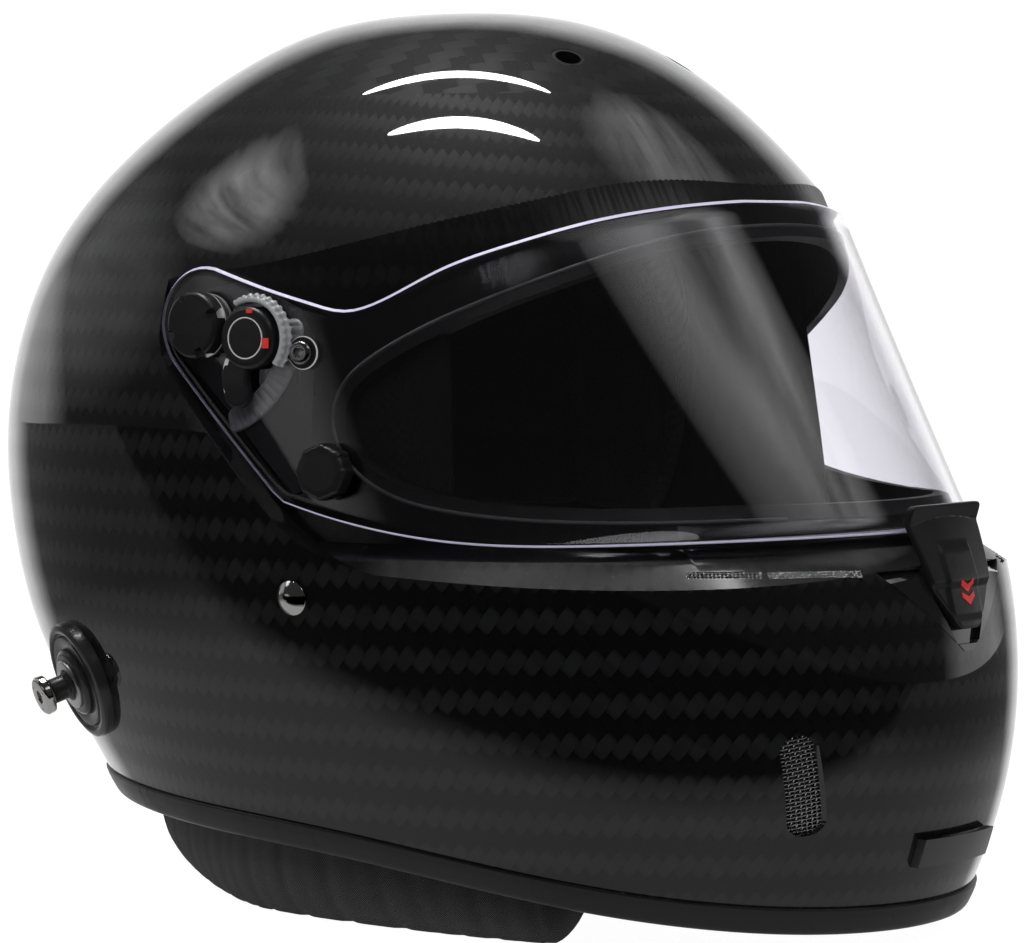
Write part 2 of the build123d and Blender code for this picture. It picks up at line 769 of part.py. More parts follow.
def make_anchor(side, skin):
    """Disc moulded to the shell, raised ring, washer, and a post with a neck and a head."""
    plane = anchor_plane(side)
    hole = anchor_screw_radius + anchor_screw_gap
    bore = post(plane, hole, -overrun, overrun)
    disc = post(plane, anchor_radius, -overrun / 4, anchor_rim) - skin - bore
    ring_top = anchor_rim + anchor_ring
    ring = post(plane, anchor_ring_radius, anchor_rim, ring_top) - bore
    washer_top = ring_top + anchor_washer
    washer = post(plane, anchor_washer_radius, ring_top, washer_top) - bore
    neck_top = washer_top + anchor_neck
    pin = post(plane, anchor_neck_radius, washer_top, neck_top)
    pin += post(plane, anchor_head_radius, neck_top, neck_top + anchor_head)
    inner = -(skin_width(anchor_y, anchor_z) - inner_width(anchor_y, anchor_z)) / abs(plane.z_dir.X)
    pin += post(plane, anchor_screw_radius, inner - 2 * anchor_nut, washer_top)
    nut = post(plane, anchor_nut_radius, inner - 2 * anchor_nut, inner - anchor_nut / 3)
    nut -= post(plane, anchor_screw_radius + anchor_screw_gap, -overrun, 0)
    return disc, ring, washer, pin, nut


def head_space(grow=0.0):
    """The room for the head: elliptical levels round a middle behind the eye port."""
    wires = []
    for height_share, size_share in head_shares:
        plane = Plane(origin=(0, head_middle, height_share * (head_top + grow)))
        wide, long_half = (head_half_width + grow) * size_share, (head_half_length + grow) * size_share
        wires.append(Wire([Edge.make_ellipse(wide, long_half, plane)]))
    return Part() + Solid.make_loft(wires)


def face_room():
    """What lies in front of the face: no liner there."""
    return block((-far, -far, -far), (far, brow_rear, brow_low))


def make_liner():
    liner = make_cavity(soft_gap) - head_space() - face_room()
    liner -= block((-far, -far, -far), (far, far, liner_low))
    for side in (-1, 1):
        liner -= post(crown_plane(side), crown_hole_radius + 2 * crown_liner, -overrun * 2, overrun / 2)
        liner -= post(rivet_plane(side), rivet_washer_radius + soft_gap, -overrun / 2, 0)
        liner -= strap_channel(side)
        liner -= post(anchor_plane(side), anchor_nut_radius + soft_gap, -overrun / 2, 0)
    return liner


def strap_channel(side):
    """A channel in the foam where the strap and the rivet's foot lie on the inner wall."""
    deep = strap_gap + strap_thick + 2 * rivet_washer + 3 * face_gap + soft_gap
    low = (inner_width(rivet_y, rivet_z) - deep, strap_y - strap_width / 2 - soft_gap, 0)
    high = (half_width, strap_y + strap_width / 2 + soft_gap, rivet_z + strap_rise + 2 * soft_gap)
    if side > 0:
        return block(low, high)
    return block((-high[0], low[1], low[2]), (-low[0], high[1], high[2]))


def make_crown_pad():
    pad = head_space(-soft_gap) - head_space(-crown_pad_thick) - face_room()
    return pad - block((-far, -far, -far), (far, far, crown_pad_low))


def make_chin_foam():
    ring = make_cavity(soft_gap) - skin_solid(wall + chin_foam_thick)
    foam = ring & block((-far, -far, chin_foam_low), (far, chin_foam_rear, chin_foam_high))
    return foam


def make_cheek(side):
    """Cheek pad between the inner wall and the face, with a rounded inner face."""
    box = block((0, cheek_front, cheek_low), (far, cheek_rear, cheek_high))
    pad = (make_cavity(cheek_back_gap) & box) - head_space(soft_gap)
    pad -= make_face_form()
    return pad if side > 0 else mirror(pad, Plane.YZ)


def make_face_form():
    """The lower face, narrower than the head, that the cheek pads are shaped round."""
    radius = head_half_width * 3 / 4
    return Pos(0, cheek_front / 2, 0) * Cylinder(radius, 2 * shell_top)


def make_neck_roll():
    """A padded roll round the neck opening, open at the chin, cut flat where it stands."""
    level = skin_level(roll_tall)
    middle = skin_middle(level, 0)
    wide = level[3] * half_width - wall - roll_inset
    rear = level[2] * half_length - middle - wall - roll_inset
    front = level[1] * half_length + middle - wall - roll_inset
    wires = []
    for step in range(roll_stations):
        turn = radians(roll_start + (360 - 2 * roll_start) * step / (roll_stations - 1))
        reach = front if cos(turn) > 0 else rear
        x, y = wide * sin(turn), middle - reach * cos(turn)
        tangent = Vector(wide * cos(turn), reach * sin(turn), 0).normalized()
        part = min(max((y - roll_rise_start) / (roll_rise_end - roll_rise_start), 0), 1)
        z = roll_tall - roll_flat + roll_rise * part * part * (3 - 2 * part)
        plane = Plane(origin=(x, y, z), x_dir=(tangent.Y, -tangent.X, 0), z_dir=tangent)
        wires.append(Wire([Edge.make_ellipse(roll_half, roll_tall, plane)]))
    roll = Part() + Solid.make_loft(wires)
    return roll - block((-far, -far, -far), (far, far, 0))


def strap_face(side):
    """Front view of one strap: down the inner wall, inward under the cheek pad, then to the middle."""
    run = strap_gap + strap_thick / 2
    turn = strap_floor + strap_thick / 2
    top_x = inner_width(strap_y, rivet_z) - run
    path = [(top_x, rivet_z + strap_rise), (top_x, rivet_z - strap_rise), (inner_width(strap_y, turn) - run, turn),
            (strap_turn_x, turn), (strap_end_x, strap_end_z)]
    return trace(Polyline(*[(side * x, z) for x, z in path]), strap_thick)


def make_strap(side):
    plane = Plane(origin=(0, strap_y - strap_width / 2, 0), x_dir=(1, 0, 0), z_dir=(0, -1, 0))
    strap = extrude(plane * strap_face(side), amount=-strap_width)
    return strap - post(rivet_plane(side), rivet_shank + face_gap, -overrun, 0)


def make_rings():
    """Two wire rings between the straps' ends, one above the other."""
    rings = Part()
    reach = strap_end_x - face_gap - strap_thick / 4
    hole = reach - 2 * ring_wire
    for step in range(2):
        loop = RectangleRounded(2 * reach, 2 * ring_half, reach * 2 / 3)
        loop -= RectangleRounded(2 * hole, 2 * (ring_half - 2 * ring_wire), hole * 2 / 3)
        height = strap_end_z - step * (ring_wire + face_gap)
        rings += extrude(Pos(0, strap_y, height) * loop, amount=ring_wire)
    return rings


def build_parts():
    skin = skin_solid(0)
    floor = flared_solid(0, far)
    parts = {"outer_shell": make_shell(skin, make_cavity(), floor)}
    parts["shell_edge_trim"] = make_trim()
    parts["eye_port_gasket"] = make_gasket()
    parts["visor"] = make_visor()
    parts["latch_seat"] = make_latch_seat()
    parts["chin_latch"] = make_latch()
    parts["shelf_vent_meshes"] = make_shelf_meshes()
    parts["crown_hole_liners"] = make_crown_liners()
    parts["chin_lip"] = make_chin_lip()
    parts["liner_foam"] = make_liner()
    parts["crown_pad"] = make_crown_pad()
    parts["chin_bar_foam"] = make_chin_foam()
    parts["neck_roll"] = make_neck_roll()
    parts["strap_d_rings"] = make_rings()
    for side, name in ((1, "left"), (-1, "right")):
        parts["side_plate_" + name] = make_side_plate(side, floor)
        parts["ratchet_arc_" + name] = make_arc(side)
        parts["pivot_post_" + name] = make_pivot_post(side)
        parts["pivot_washer_" + name] = make_pivot_washer(side)
        parts["pivot_knob_" + name] = make_pivot_knob(side)
        parts["lock_dial_" + name] = make_dial(side)
        parts["visor_peg_" + name] = make_peg(side)
        parts["tear_off_stud_" + name] = make_stud(side)
        parts["chin_vent_mesh_" + name] = make_chin_mesh(side)
        parts["strap_rivet_" + name] = make_rivet(side)
        parts["cheek_pad_" + name] = make_cheek(side)
        parts["chin_strap_" + name] = make_strap(side)
        disc, ring, washer, pin, nut = make_anchor(side, skin)
        parts["anchor_disc_" + name] = disc
        parts["anchor_ring_" + name] = ring
        parts["anchor_washer_" + name] = washer
        parts["anchor_post_" + name] = pin
        parts["anchor_nut_" + name] = nut
    return parts


os.makedirs("parts", exist_ok=True)
for node, shape in build_parts().items():
    export_step(shape, os.path.join("parts", node + ".step"))
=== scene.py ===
"""Looks of a full-face auto racing helmet with a clear visor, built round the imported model."""
import json
import logging
from dataclasses import dataclass
from enum import Enum
from functools import cached_property, lru_cache
from typing import Callable, Optional, Sequence, Union

import bmesh
import bpy
import numpy as np
from mathutils import Matrix, Vector

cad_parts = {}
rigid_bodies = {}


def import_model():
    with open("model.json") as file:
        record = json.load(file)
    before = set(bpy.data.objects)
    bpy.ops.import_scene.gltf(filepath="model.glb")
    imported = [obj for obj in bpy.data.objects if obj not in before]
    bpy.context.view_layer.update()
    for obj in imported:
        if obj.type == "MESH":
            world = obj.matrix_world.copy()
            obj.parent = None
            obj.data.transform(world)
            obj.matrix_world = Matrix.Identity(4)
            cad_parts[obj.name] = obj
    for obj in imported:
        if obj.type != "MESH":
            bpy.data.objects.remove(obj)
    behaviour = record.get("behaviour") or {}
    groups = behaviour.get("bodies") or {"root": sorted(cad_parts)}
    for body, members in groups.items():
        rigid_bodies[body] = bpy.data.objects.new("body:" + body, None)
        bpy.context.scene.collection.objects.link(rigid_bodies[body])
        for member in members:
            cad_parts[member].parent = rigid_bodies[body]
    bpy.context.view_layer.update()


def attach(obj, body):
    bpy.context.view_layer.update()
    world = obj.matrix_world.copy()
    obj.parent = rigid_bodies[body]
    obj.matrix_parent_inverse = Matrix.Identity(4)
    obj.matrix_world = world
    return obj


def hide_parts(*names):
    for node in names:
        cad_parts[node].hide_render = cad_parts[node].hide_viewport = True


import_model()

LOG = logging.getLogger("helmet")
METRES = 0.001
SIDES = ((1, "left"), (-1, "right"))
CORE = 0.02  # radius at which a turned piece closes on its axis
Array = np.ndarray
Value = Union[float, bpy.types.NodeSocket]

# Levels of the shell from under its edge to the crown, as shares of its height, of its half
# length (front, rear) and half width, and the place of the widest point. The last row is the pole.
LEVELS = np.array([
    (-0.100, 0.808, 0.532, 0.650, 0.020), (0.085, 0.956, 0.722, 0.801, 0.011),
    (0.192, 0.996, 0.844, 0.883, 0.017), (0.299, 0.997, 0.947, 0.944, 0.028),
    (0.405, 0.961, 0.994, 0.981, 0.039), (0.516, 0.881, 1.000, 1.000, 0.056),
    (0.626, 0.781, 0.961, 0.981, 0.075), (0.733, 0.663, 0.878, 0.908, 0.094),
    (0.829, 0.533, 0.744, 0.769, 0.100), (0.9015, 0.411, 0.594, 0.613, 0.092),
    (0.953, 0.289, 0.453, 0.458, 0.083), (0.9826, 0.172, 0.333, 0.313, 0.081),
    (0.9964, 0.061, 0.211, 0.159, 0.079), (0.9995, -0.030, 0.122, 0.055, 0.078),
    (1.0, -0.078, 0.078, 0.0, 0.078)])


# Numbers


def signed_power(value: Array, power: Union[float, Array]) -> Array:
    """The size of each value to a power, with its sign kept.

    Args:
        value: Any numbers.
        power: The power.

    Returns:
        The numbers, raised.
    """
    return np.sign(value) * np.abs(value) ** power


def smooth_step(value: Array, low: float, high: float) -> Array:
    """An even rise: three squares less two cubes of the share between low and high.

    Args:
        value: Where it is asked.
        low: Where the rise starts.
        high: Where it ends.

    Returns:
        Shares from 0 to 1.
    """
    share = np.clip((value - low) / (high - low), 0, 1)
    return share * share * (3 - 2 * share)


def spline_weights(knots: Array, places: Array, closed: bool = False) -> Array:
    """Weights of the knots in a natural cubic spline, one row for each place.

    Args:
        knots: Rising numbers where the values are known.
        places: Where the spline is asked.
        closed: The knots are one round of a closed line that starts at 0 and has even steps.

    Returns:
        A matrix that turns values at the knots into values at the places.
    """
    if closed:
        count, lap = len(knots), len(knots) * (knots[1] - knots[0])
        three = spline_weights(np.concatenate([knots - lap, knots, knots + lap]), places)
        return three[:, :count] + three[:, count:2 * count] + three[:, 2 * count:]
    count, gaps = len(knots), np.diff(knots)
    left, right = np.eye(count), np.zeros((count, count))
    inner = np.arange(1, count - 1)
    left[inner, inner - 1], left[inner, inner + 1] = gaps[:-1], gaps[1:]
    left[inner, inner] = 2 * (gaps[:-1] + gaps[1:])
    right[inner, inner - 1], right[inner, inner + 1] = 6 / gaps[:-1], 6 / gaps[1:]
    right[inner, inner] = -6 / gaps[:-1] - 6 / gaps[1:]
    bend = np.linalg.solve(left, right)
    span = np.clip(np.searchsorted(knots, places, side="right") - 1, 0, count - 2)
    b = (places - knots[span]) / gaps[span]
    a = 1 - b
    weights = ((a ** 3 - a)[:, None] * bend[span] + (b ** 3 - b)[:, None] * bend[span + 1])
    weights *= (gaps[span] ** 2 / 6)[:, None]
    rows = np.arange(len(places))
    weights[rows, span] += a
    weights[rows, span + 1] += b
    return weights


def run_lengths(line: Array) -> Array:
    """How far along a line each of its points lies: the chords between them, added up."""
    return np.concatenate([[0], np.cumsum(np.linalg.norm(np.diff(line, axis=0), axis=1))])


def smooth_line(points: Sequence, count: int) -> Array:
    """A natural cubic spline through points, its parameter the length of the chords.

    Args:
        points: The points that it goes through.
        count: How many points come out.

    Returns:
        Points along the line.
    """
    given = np.asarray(points, float)
    knots = run_lengths(given)
    return spline_weights(knots, np.linspace(0, knots[-1], count)) @ given


def between(table: Array, row: Array, column: Array) -> Array:
    """Values of a table between its rows and columns, by two linear shares.

    Args:
        table: Values on a grid.
        row: Row numbers, with fractions.
        column: Column numbers, with fractions.

    Returns:
        The values there.
    """
    r = np.clip(row.astype(int), 0, table.shape[0] - 2)
    c = np.clip(column.astype(int), 0, table.shape[1] - 2)
    a, b = row - r, column - c
    low = table[r, c] * (1 - b) + table[r, c + 1] * b
    return low * (1 - a) + (table[r + 1, c] * (1 - b) + table[r + 1, c + 1] * b) * a


# Meshes


def grid_faces(rows: int, columns: int) -> Array:
    """Four corners of each cell of a grid of points, turned so that row cross column points in.

    Args:
        rows: Rows of points.
        columns: Columns of points.

    Returns:
        Corner numbers.
    """
    first = (np.arange(rows - 1)[:, None] * columns + np.arange(columns - 1)).ravel()
    return np.stack([first, first + 1, first + columns + 1, first + columns], 1)


def weld(mesh: bpy.types.Mesh, reach: float = 1e-6) -> None:
    """Closes seams and poles, and turns every face outward.

    Args:
        mesh: The mesh, changed in place.
        reach: Points nearer than this become one, in metres.
    """
    work = bmesh.new()
    work.from_mesh(mesh)
    bmesh.ops.remove_doubles(work, verts=work.verts, dist=reach)
    bmesh.ops.dissolve_degenerate(work, edges=work.edges, dist=reach)
    bmesh.ops.recalc_face_normals(work, faces=work.faces)
    work.to_mesh(mesh)
    work.free()


def read(items: bpy.types.bpy_prop_collection, label: str, kind: type, wide: int = 1) -> Array:
    """One value of every item in a mesh's list.

    Args:
        items: The list, such as the mesh's loops.
        label: The value's name.
        kind: Type of its numbers.
        wide: How many numbers each item has.

    Returns:
        All the numbers in one row.
    """
    made = np.zeros(len(items) * wide, kind)
    items.foreach_get(label, made)
    return made


def add_mesh(name: str, points: Array, faces: Sequence, uv: Optional[Array] = None,
             close: bool = True) -> bpy.types.Object:
    """Makes an object from points in millimetres.

    Args:
        name: Its name.
        points: Points, any shape that ends in three numbers.
        faces: Corner numbers of each face.
        uv: A pair for each point, in millimetres, for the pattern of its material.
        close: Weld seams and poles.

    Returns:
        The object, linked to the scene.
    """
    mesh = bpy.data.meshes.new(name)
    mesh.from_pydata((points.reshape(-1, 3) * METRES).tolist(), [], np.asarray(faces).tolist())
    if uv is not None:
        layer = mesh.uv_layers.new(name="UVMap")
        corner = read(mesh.loops, "vertex_index", np.int32)
        layer.data.foreach_set("uv", uv.reshape(-1, 2)[corner].astype(np.float32).ravel())
    if close:
        weld(mesh)
    piece = bpy.data.objects.new(name, mesh)
    bpy.context.scene.collection.objects.link(piece)
    return piece


def smooth(piece: bpy.types.Object, angle: float = 35.0) -> None:
    """Shades a piece smooth, with edges sharper than an angle in degrees kept crisp.

    Args:
        piece: The piece.
        angle: Edges sharper than this stay crisp, in degrees.
    """
    mesh = piece.data
    mesh.polygons.foreach_set("use_smooth", np.ones(len(mesh.polygons), bool))
    mesh.set_sharp_from_angle(angle=np.radians(angle))


def grid_piece(name: str, points: Array, uv: Optional[Array] = None,
               angle: float = 35.0) -> bpy.types.Object:
    """A smooth piece from a grid of points; a closed form repeats its first row or column.

    Args:
        name: Its name.
        points: Rows by columns by three, in millimetres.
        uv: Rows by columns by two.
        angle: Edges sharper than this stay crisp, in degrees.

    Returns:
        The piece.
    """
    piece = add_mesh(name, points, grid_faces(*points.shape[:2]), uv)
    smooth(piece, angle)
    return piece


def prism(name: str, outline: Array, along_x: bool, low: float, high: float) -> bpy.types.Object:
    """An outline carried straight across, as a closed block for carving.

    Args:
        name: Its name.
        outline: Pairs of y and z, or of x and z, round the outline.
        along_x: It is carried along X, and otherwise along Y.
        low: Where it starts.
        high: Where it ends.

    Returns:
        The block.
    """
    count = len(outline)
    ends = []
    for place in (low, high):
        level = np.full(count, place)
        first = (level, outline[:, 0]) if along_x else (outline[:, 0], level)
        ends.append(np.stack([first[0], first[1], outline[:, 1]], 1))
    ring = np.arange(count)
    sides = np.stack([ring, np.roll(ring, -1), np.roll(ring, -1) + count, ring + count], 1)
    faces = sides.tolist() + [ring.tolist(), (ring + count).tolist()]
    mesh = bpy.data.meshes.new(name)
    mesh.from_pydata((np.concatenate(ends) * METRES).tolist(), [], faces)
    weld(mesh)
    block = bpy.data.objects.new(name, mesh)
    bpy.context.scene.collection.objects.link(block)
    return block


def stacked(name: str, rings: Array) -> bpy.types.Object:
    """A closed block from rings of points that lie one over the other.

    Args:
        name: Its name.
        rings: Levels by points by three, in millimetres.

    Returns:
        The block.
    """
    levels, count = rings.shape[:2]
    closed = np.concatenate([rings, rings[:, :1]], axis=1)
    faces = grid_faces(levels, count + 1).tolist()
    faces += [list(range(count)), [(levels - 1) * (count + 1) + k for k in range(count)]]
    return add_mesh(name, closed, np.array(faces, dtype=object))


def carve(piece: bpy.types.Object, cutters: Sequence[bpy.types.Object]) -> None:
    """Takes the cutters out of a piece; new faces keep the cutter's material.

    Args:
        piece: The piece, changed in place.
        cutters: Closed blocks, removed afterwards.
    """
    group = bpy.data.collections.new("cutters")
    for cutter in cutters:
        group.objects.link(cutter)
    change = piece.modifiers.new("carve", "BOOLEAN")
    change.operation, change.operand_type, change.solver = "DIFFERENCE", "COLLECTION", "EXACT"
    change.material_mode, change.collection = "TRANSFER", group
    graph = bpy.context.evaluated_depsgraph_get()
    graph.update()
    made = bpy.data.meshes.new_from_object(piece.evaluated_get(graph), depsgraph=graph)
    piece.modifiers.clear()
    piece.data = made
    for cutter in list(group.objects):
        bpy.data.objects.remove(cutter)
    bpy.data.collections.remove(group)


@dataclass(frozen=True)
class Seat:
    """A place on the helmet: an origin in millimetres, the way out of it, and a way along it."""

    origin: Array
    out: Array
    along: Array

    def place(self, x: Array, y: Array, z: Array) -> Array:
        """Points from distances along, across and out of the seat.

        Args:
            x: Distances along.
            y: Distances across.
            z: Distances out.

        Returns:
            Points in millimetres.
        """
        out = self.out / np.linalg.norm(self.out)
        along = self.along - (self.along @ out) * out
        along = along / np.linalg.norm(along)
        across = np.cross(out, along)
        return self.origin + x[..., None] * along + y[..., None] * across + z[..., None] * out

    @property
    def flip(self) -> int:
        """1 where the way across points up, and otherwise -1."""
        return 1 if np.cross(self.out, self.along)[2] > 0 else -1

    def raised(self, base: float) -> Callable:
        """A lift for plates that lie at a height over the seat, their second number upward."""
        return lambda a, b, h: self.place(a, self.flip * b, base + h)


def rounded(profile: Sequence, steps: int = 4) -> Array:
    """A profile whose corners are rounded by a curve through two points and the corner.

    Args:
        profile: Rows of radius, height and the corner's rounding.
        steps: Points on each corner.

    Returns:
        Pairs of radius and height.
    """
    rows = np.array(profile, float)
    made = [rows[:1, :2]]
    share = np.linspace(0, 1, steps)[:, None]
    for before, here, after in zip(rows, rows[1:], rows[2:]):
        back, ahead = before[:2] - here[:2], after[:2] - here[:2]
        a = here[:2] + back * min(here[2] / np.linalg.norm(back), 0.5)
        b = here[:2] + ahead * min(here[2] / np.linalg.norm(ahead), 0.5)
        made.append((1 - share) ** 2 * a + 2 * share * (1 - share) * here[:2] + share ** 2 * b)
    made.append(rows[-1:, :2])
    return np.concatenate(made)


def turned(name: str, seat: Seat, profile: Sequence, steps: int = 96,
           limit: Optional[Callable] = None, start: float = 0.0, stop: float = 360.0) -> bpy.types.Object:
    """A piece turned on a lathe: a rounded profile carried round the seat's way out.

    Args:
        name: Its name.
        seat: Where its axis stands.
        profile: Rows of radius, height and rounding.
        steps: Steps round.
        limit: Says the most that the radius may be at angles, such as in notches.
        start: First angle in degrees.
        stop: Last angle.

    Returns:
        The piece.
    """
    line = rounded(profile)
    angle = np.radians(np.linspace(start, stop, steps + 1))
    radius = np.repeat(line[:, :1], steps + 1, axis=1)
    if limit is not None:
        radius = np.minimum(radius, limit(angle)[None])
    height = np.repeat(line[:, 1:], steps + 1, axis=1)
    points = seat.place(radius * np.cos(angle), radius * np.sin(angle), height)
    if stop - start < 360:
        middle = points.mean(axis=0, keepdims=True)
        centre = np.repeat(middle, len(line), axis=0)
        points = np.concatenate([centre[:, :1], points, centre[:, -1:]], axis=1)
    uv = np.stack([angle * 10 + 0 * radius, np.arange(len(line))[:, None] + 0 * radius], -1)
    return grid_piece(name, points, None if stop - start < 360 else uv)


def plate(name: str, outline: Array, lift: Callable, thick: float, edge: float,
          rings: int = 14) -> bpy.types.Object:
    """A thin plate with rounded edges, laid on a surface.

    Args:
        name: Its name.
        outline: Closed line of pairs on the surface, round its own middle, anticlockwise.
        lift: Turns two coordinates and a height over the surface into points.
        thick: Thickness.
        edge: Rounding of its edges.
        rings: Rings of points on each face.

    Returns:
        The plate.
    """
    ring = np.concatenate([outline, outline[:1]])
    ahead, back = np.roll(outline, -1, axis=0), np.roll(outline, 1, axis=0)
    along = ahead - back
    along = along / np.maximum(np.linalg.norm(along, axis=1, keepdims=True), 1e-9)
    inward = np.stack([-along[:, 1], along[:, 0]], 1)
    inward = np.concatenate([inward, inward[:1]])
    middle = outline.mean(axis=0)
    bend = np.linspace(0, np.pi / 2, 5)
    shares = np.linspace(0, 1, rings) ** 0.7
    layers = [(ring + edge * inward - middle) * s + middle for s in shares]
    heights = [np.full(len(ring), thick)] * rings
    for b in bend[1:]:
        layers.append(ring + inward * edge * (1 - np.sin(b)))
        heights.append(np.full(len(ring), thick - edge * (1 - np.cos(b))))
    for b in bend[::-1]:
        layers.append(ring + inward * edge * (1 - np.sin(b)))
        heights.append(np.full(len(ring), edge * (1 - np.cos(b))))
    for s in shares[::-1]:
        layers.append((ring + edge * inward - middle) * s + middle)
        heights.append(np.zeros(len(ring)))
    flat, height = np.stack(layers), np.stack(heights)
    return grid_piece(name, lift(flat[..., 0], flat[..., 1], height), flat, 50)


def ball_box(rows: int, columns: int, sharp: float) -> tuple[Array, Array, Array]:
    """A closed form between a ball and a box, in three numbers from -1 to 1.

    Args:
        rows: Rows of points.
        columns: Columns of points.
        sharp: 1 is a ball, and near 0 is a box.

    Returns:
        The three numbers on the grid.
    """
    polar = np.linspace(-np.pi / 2, np.pi / 2, rows)[:, None]
    round_ = np.linspace(-np.pi, np.pi, columns)[None]
    a = signed_power(np.sin(polar), sharp) + 0 * round_
    ring = np.abs(np.cos(polar)) ** sharp
    return a, ring * signed_power(np.sin(round_), sharp), ring * signed_power(np.cos(round_), sharp)


# The helmet's own surfaces


@dataclass(frozen=True)
class Skin:
    """The shell's outer surface: levels of two half superellipses under one smooth spline."""

    half_length: float = 180.0
    half_width: float = 122.3
    top: float = 281.2
    front_power: float = 2.15
    rear_power: float = 2.1
    posts: int = 16
    crown_weave: float = 1.32
    widest_level: int = 5
    chart_rows: int = 200
    chart_turns: int = 128

    def control(self, inset: float) -> Array:
        """Points of the levels, with the levels mirrored through the pole after it.

        Args:
            inset: Distance under the skin.

        Returns:
            Levels by posts by three.
        """
        height, front, rear, width, widest = (LEVELS[:, k:k + 1] for k in range(5))
        long_half = self.half_length - inset
        turn = 2 * np.pi * np.arange(self.posts) / self.posts
        ahead = np.cos(turn) > 0
        power = 2 / np.where(ahead, self.front_power, self.rear_power)
        middle = widest * long_half
        reach = np.where(ahead, front * long_half + middle, rear * long_half - middle)
        x = width * (self.half_width - inset) * signed_power(np.sin(turn), power)
        y = middle - reach * signed_power(np.cos(turn), power)
        z = height * (self.top - inset) + 0 * x
        rows = np.stack([x, y, z], -1)
        beyond = np.stack([-x, 2 * middle - y, z], -1)[-2::-1]
        return np.concatenate([rows, beyond])

    @cached_property
    def knots(self) -> Array:
        """Places of the levels along the spline: the mean chord between them, added up."""
        step = np.linalg.norm(np.diff(self.control(0.0), axis=0), axis=2).mean(axis=1)
        return np.concatenate([[0], np.cumsum(step)])

    @property
    def pole(self) -> float:
        """Place of the pole along the spline."""
        return float(self.knots[len(LEVELS) - 1])

    @cached_property
    def bases(self) -> tuple[Array, Array]:
        """The control points at no inset, and what one millimetre of inset adds."""
        flat = self.control(0.0)
        return flat, self.control(1.0) - flat

    def at(self, place: Array, turn: Array, inset: Union[float, Array] = 0.0) -> Array:
        """Points of the skin: both splines' weights times the control points.

        Args:
            place: Places along the spline from the lowest level to the pole.
            turn: Angles round from the front, towards the wearer's left.
            inset: Distance under the skin.

        Returns:
            Points, in the shape that the three have together.
        """
        place, turn, inset = np.broadcast_arrays(place, turn, inset)
        rows = spline_weights(self.knots, place.ravel())
        knots = 2 * np.pi * np.arange(self.posts) / self.posts
        columns = spline_weights(knots, np.mod(turn.ravel(), 2 * np.pi), closed=True)
        made = []
        for base in self.bases:
            across = (rows @ base.reshape(len(base), -1)).reshape(-1, self.posts, 3)
            made.append(np.einsum("nkc,nk->nc", across, columns).reshape(*place.shape, 3))
        return made[0] + inset[..., None] * made[1]

    @cached_property
    def heights(self) -> tuple[Array, Array]:
        """Share of the height at even places from the lowest level to the pole.

        Returns:
            The shares and the places.
        """
        places = np.linspace(0, self.pole, 3000)
        full = np.concatenate([LEVELS[:, 0], LEVELS[-2::-1, 0]])
        return np.maximum.accumulate(spline_weights(self.knots, places) @ full), places

    def level(self, z: Array, inset: Union[float, Array] = 0.0) -> Array:
        """Places along the spline at heights."""
        return np.interp(z / (self.top - inset), *self.heights)

    def at_height(self, z: Array, turn: Array, inset: Union[float, Array] = 0.0) -> Array:
        """Points of the skin at heights."""
        return self.at(self.level(z, inset), turn, inset)

    def normal(self, place: Array, turn: Array, inset: float = 0.0) -> Array:
        """Ways out of the skin: the cross product of small steps round and up.

        Args:
            place: Places along the spline.
            turn: Angles round.
            inset: Distance under the skin.

        Returns:
            Unit vectors.
        """
        up = np.clip(place, 1.0, self.pole - 1.0)
        step = 0.01
        round_ = self.at(up, turn + step, inset) - self.at(up, turn - step, inset)
        rise = self.at(up + 0.5, turn, inset) - self.at(up - 0.5, turn, inset)
        out = np.cross(round_, rise)
        out /= np.maximum(np.linalg.norm(out, axis=-1, keepdims=True), 1e-9)
        share = smooth_step(place, self.pole - 12, self.pole - 1)[..., None]
        out = out * (1 - share) + share * np.array([0, 0, 1.0])
        return out / np.linalg.norm(out, axis=-1, keepdims=True)

    @lru_cache(maxsize=8)
    def tables(self, inset: float) -> tuple[Array, Array]:
        """Half widths at whole millimetres of height and length, and fronts at those of height and width.

        Args:
            inset: Distance under the skin.

        Returns:
            The two tables.
        """
        z = np.arange(0, int(self.top - inset) + 1.0)
        ring = self.at_height(z[:, None], np.linspace(0, np.pi, 361)[None], inset)
        y, x = np.arange(-self.half_length, self.half_length + 1), np.arange(0, int(self.half_width) + 1.0)
        wide = [np.interp(y, line[:, 1], line[:, 0], left=0, right=0) for line in ring]
        ahead = [np.interp(x, line[:181, 0], line[:181, 1]) for line in ring]
        return np.array(wide), np.array(ahead)

    def width(self, y: Array, z: Array, inset: float = 0.0) -> Array:
        """Half width of the skin at places in side view.

        Args:
            y: Places along the helmet.
            z: Heights.
            inset: Distance under the skin.

        Returns:
            Half widths, 0 past the ends.
        """
        y, z = np.broadcast_arrays(np.asarray(y, float), z)
        return between(self.tables(inset)[0], z, y + self.half_length)

    def front(self, x: Array, z: Array, inset: float = 0.0) -> Array:
        """Y of the skin's front at places in front view.

        Args:
            x: Places across.
            z: Heights.
            inset: Distance under the skin.

        Returns:
            The places along the helmet.
        """
        x, z = np.broadcast_arrays(np.asarray(x, float), z)
        return between(self.tables(inset)[1], z, np.abs(x))

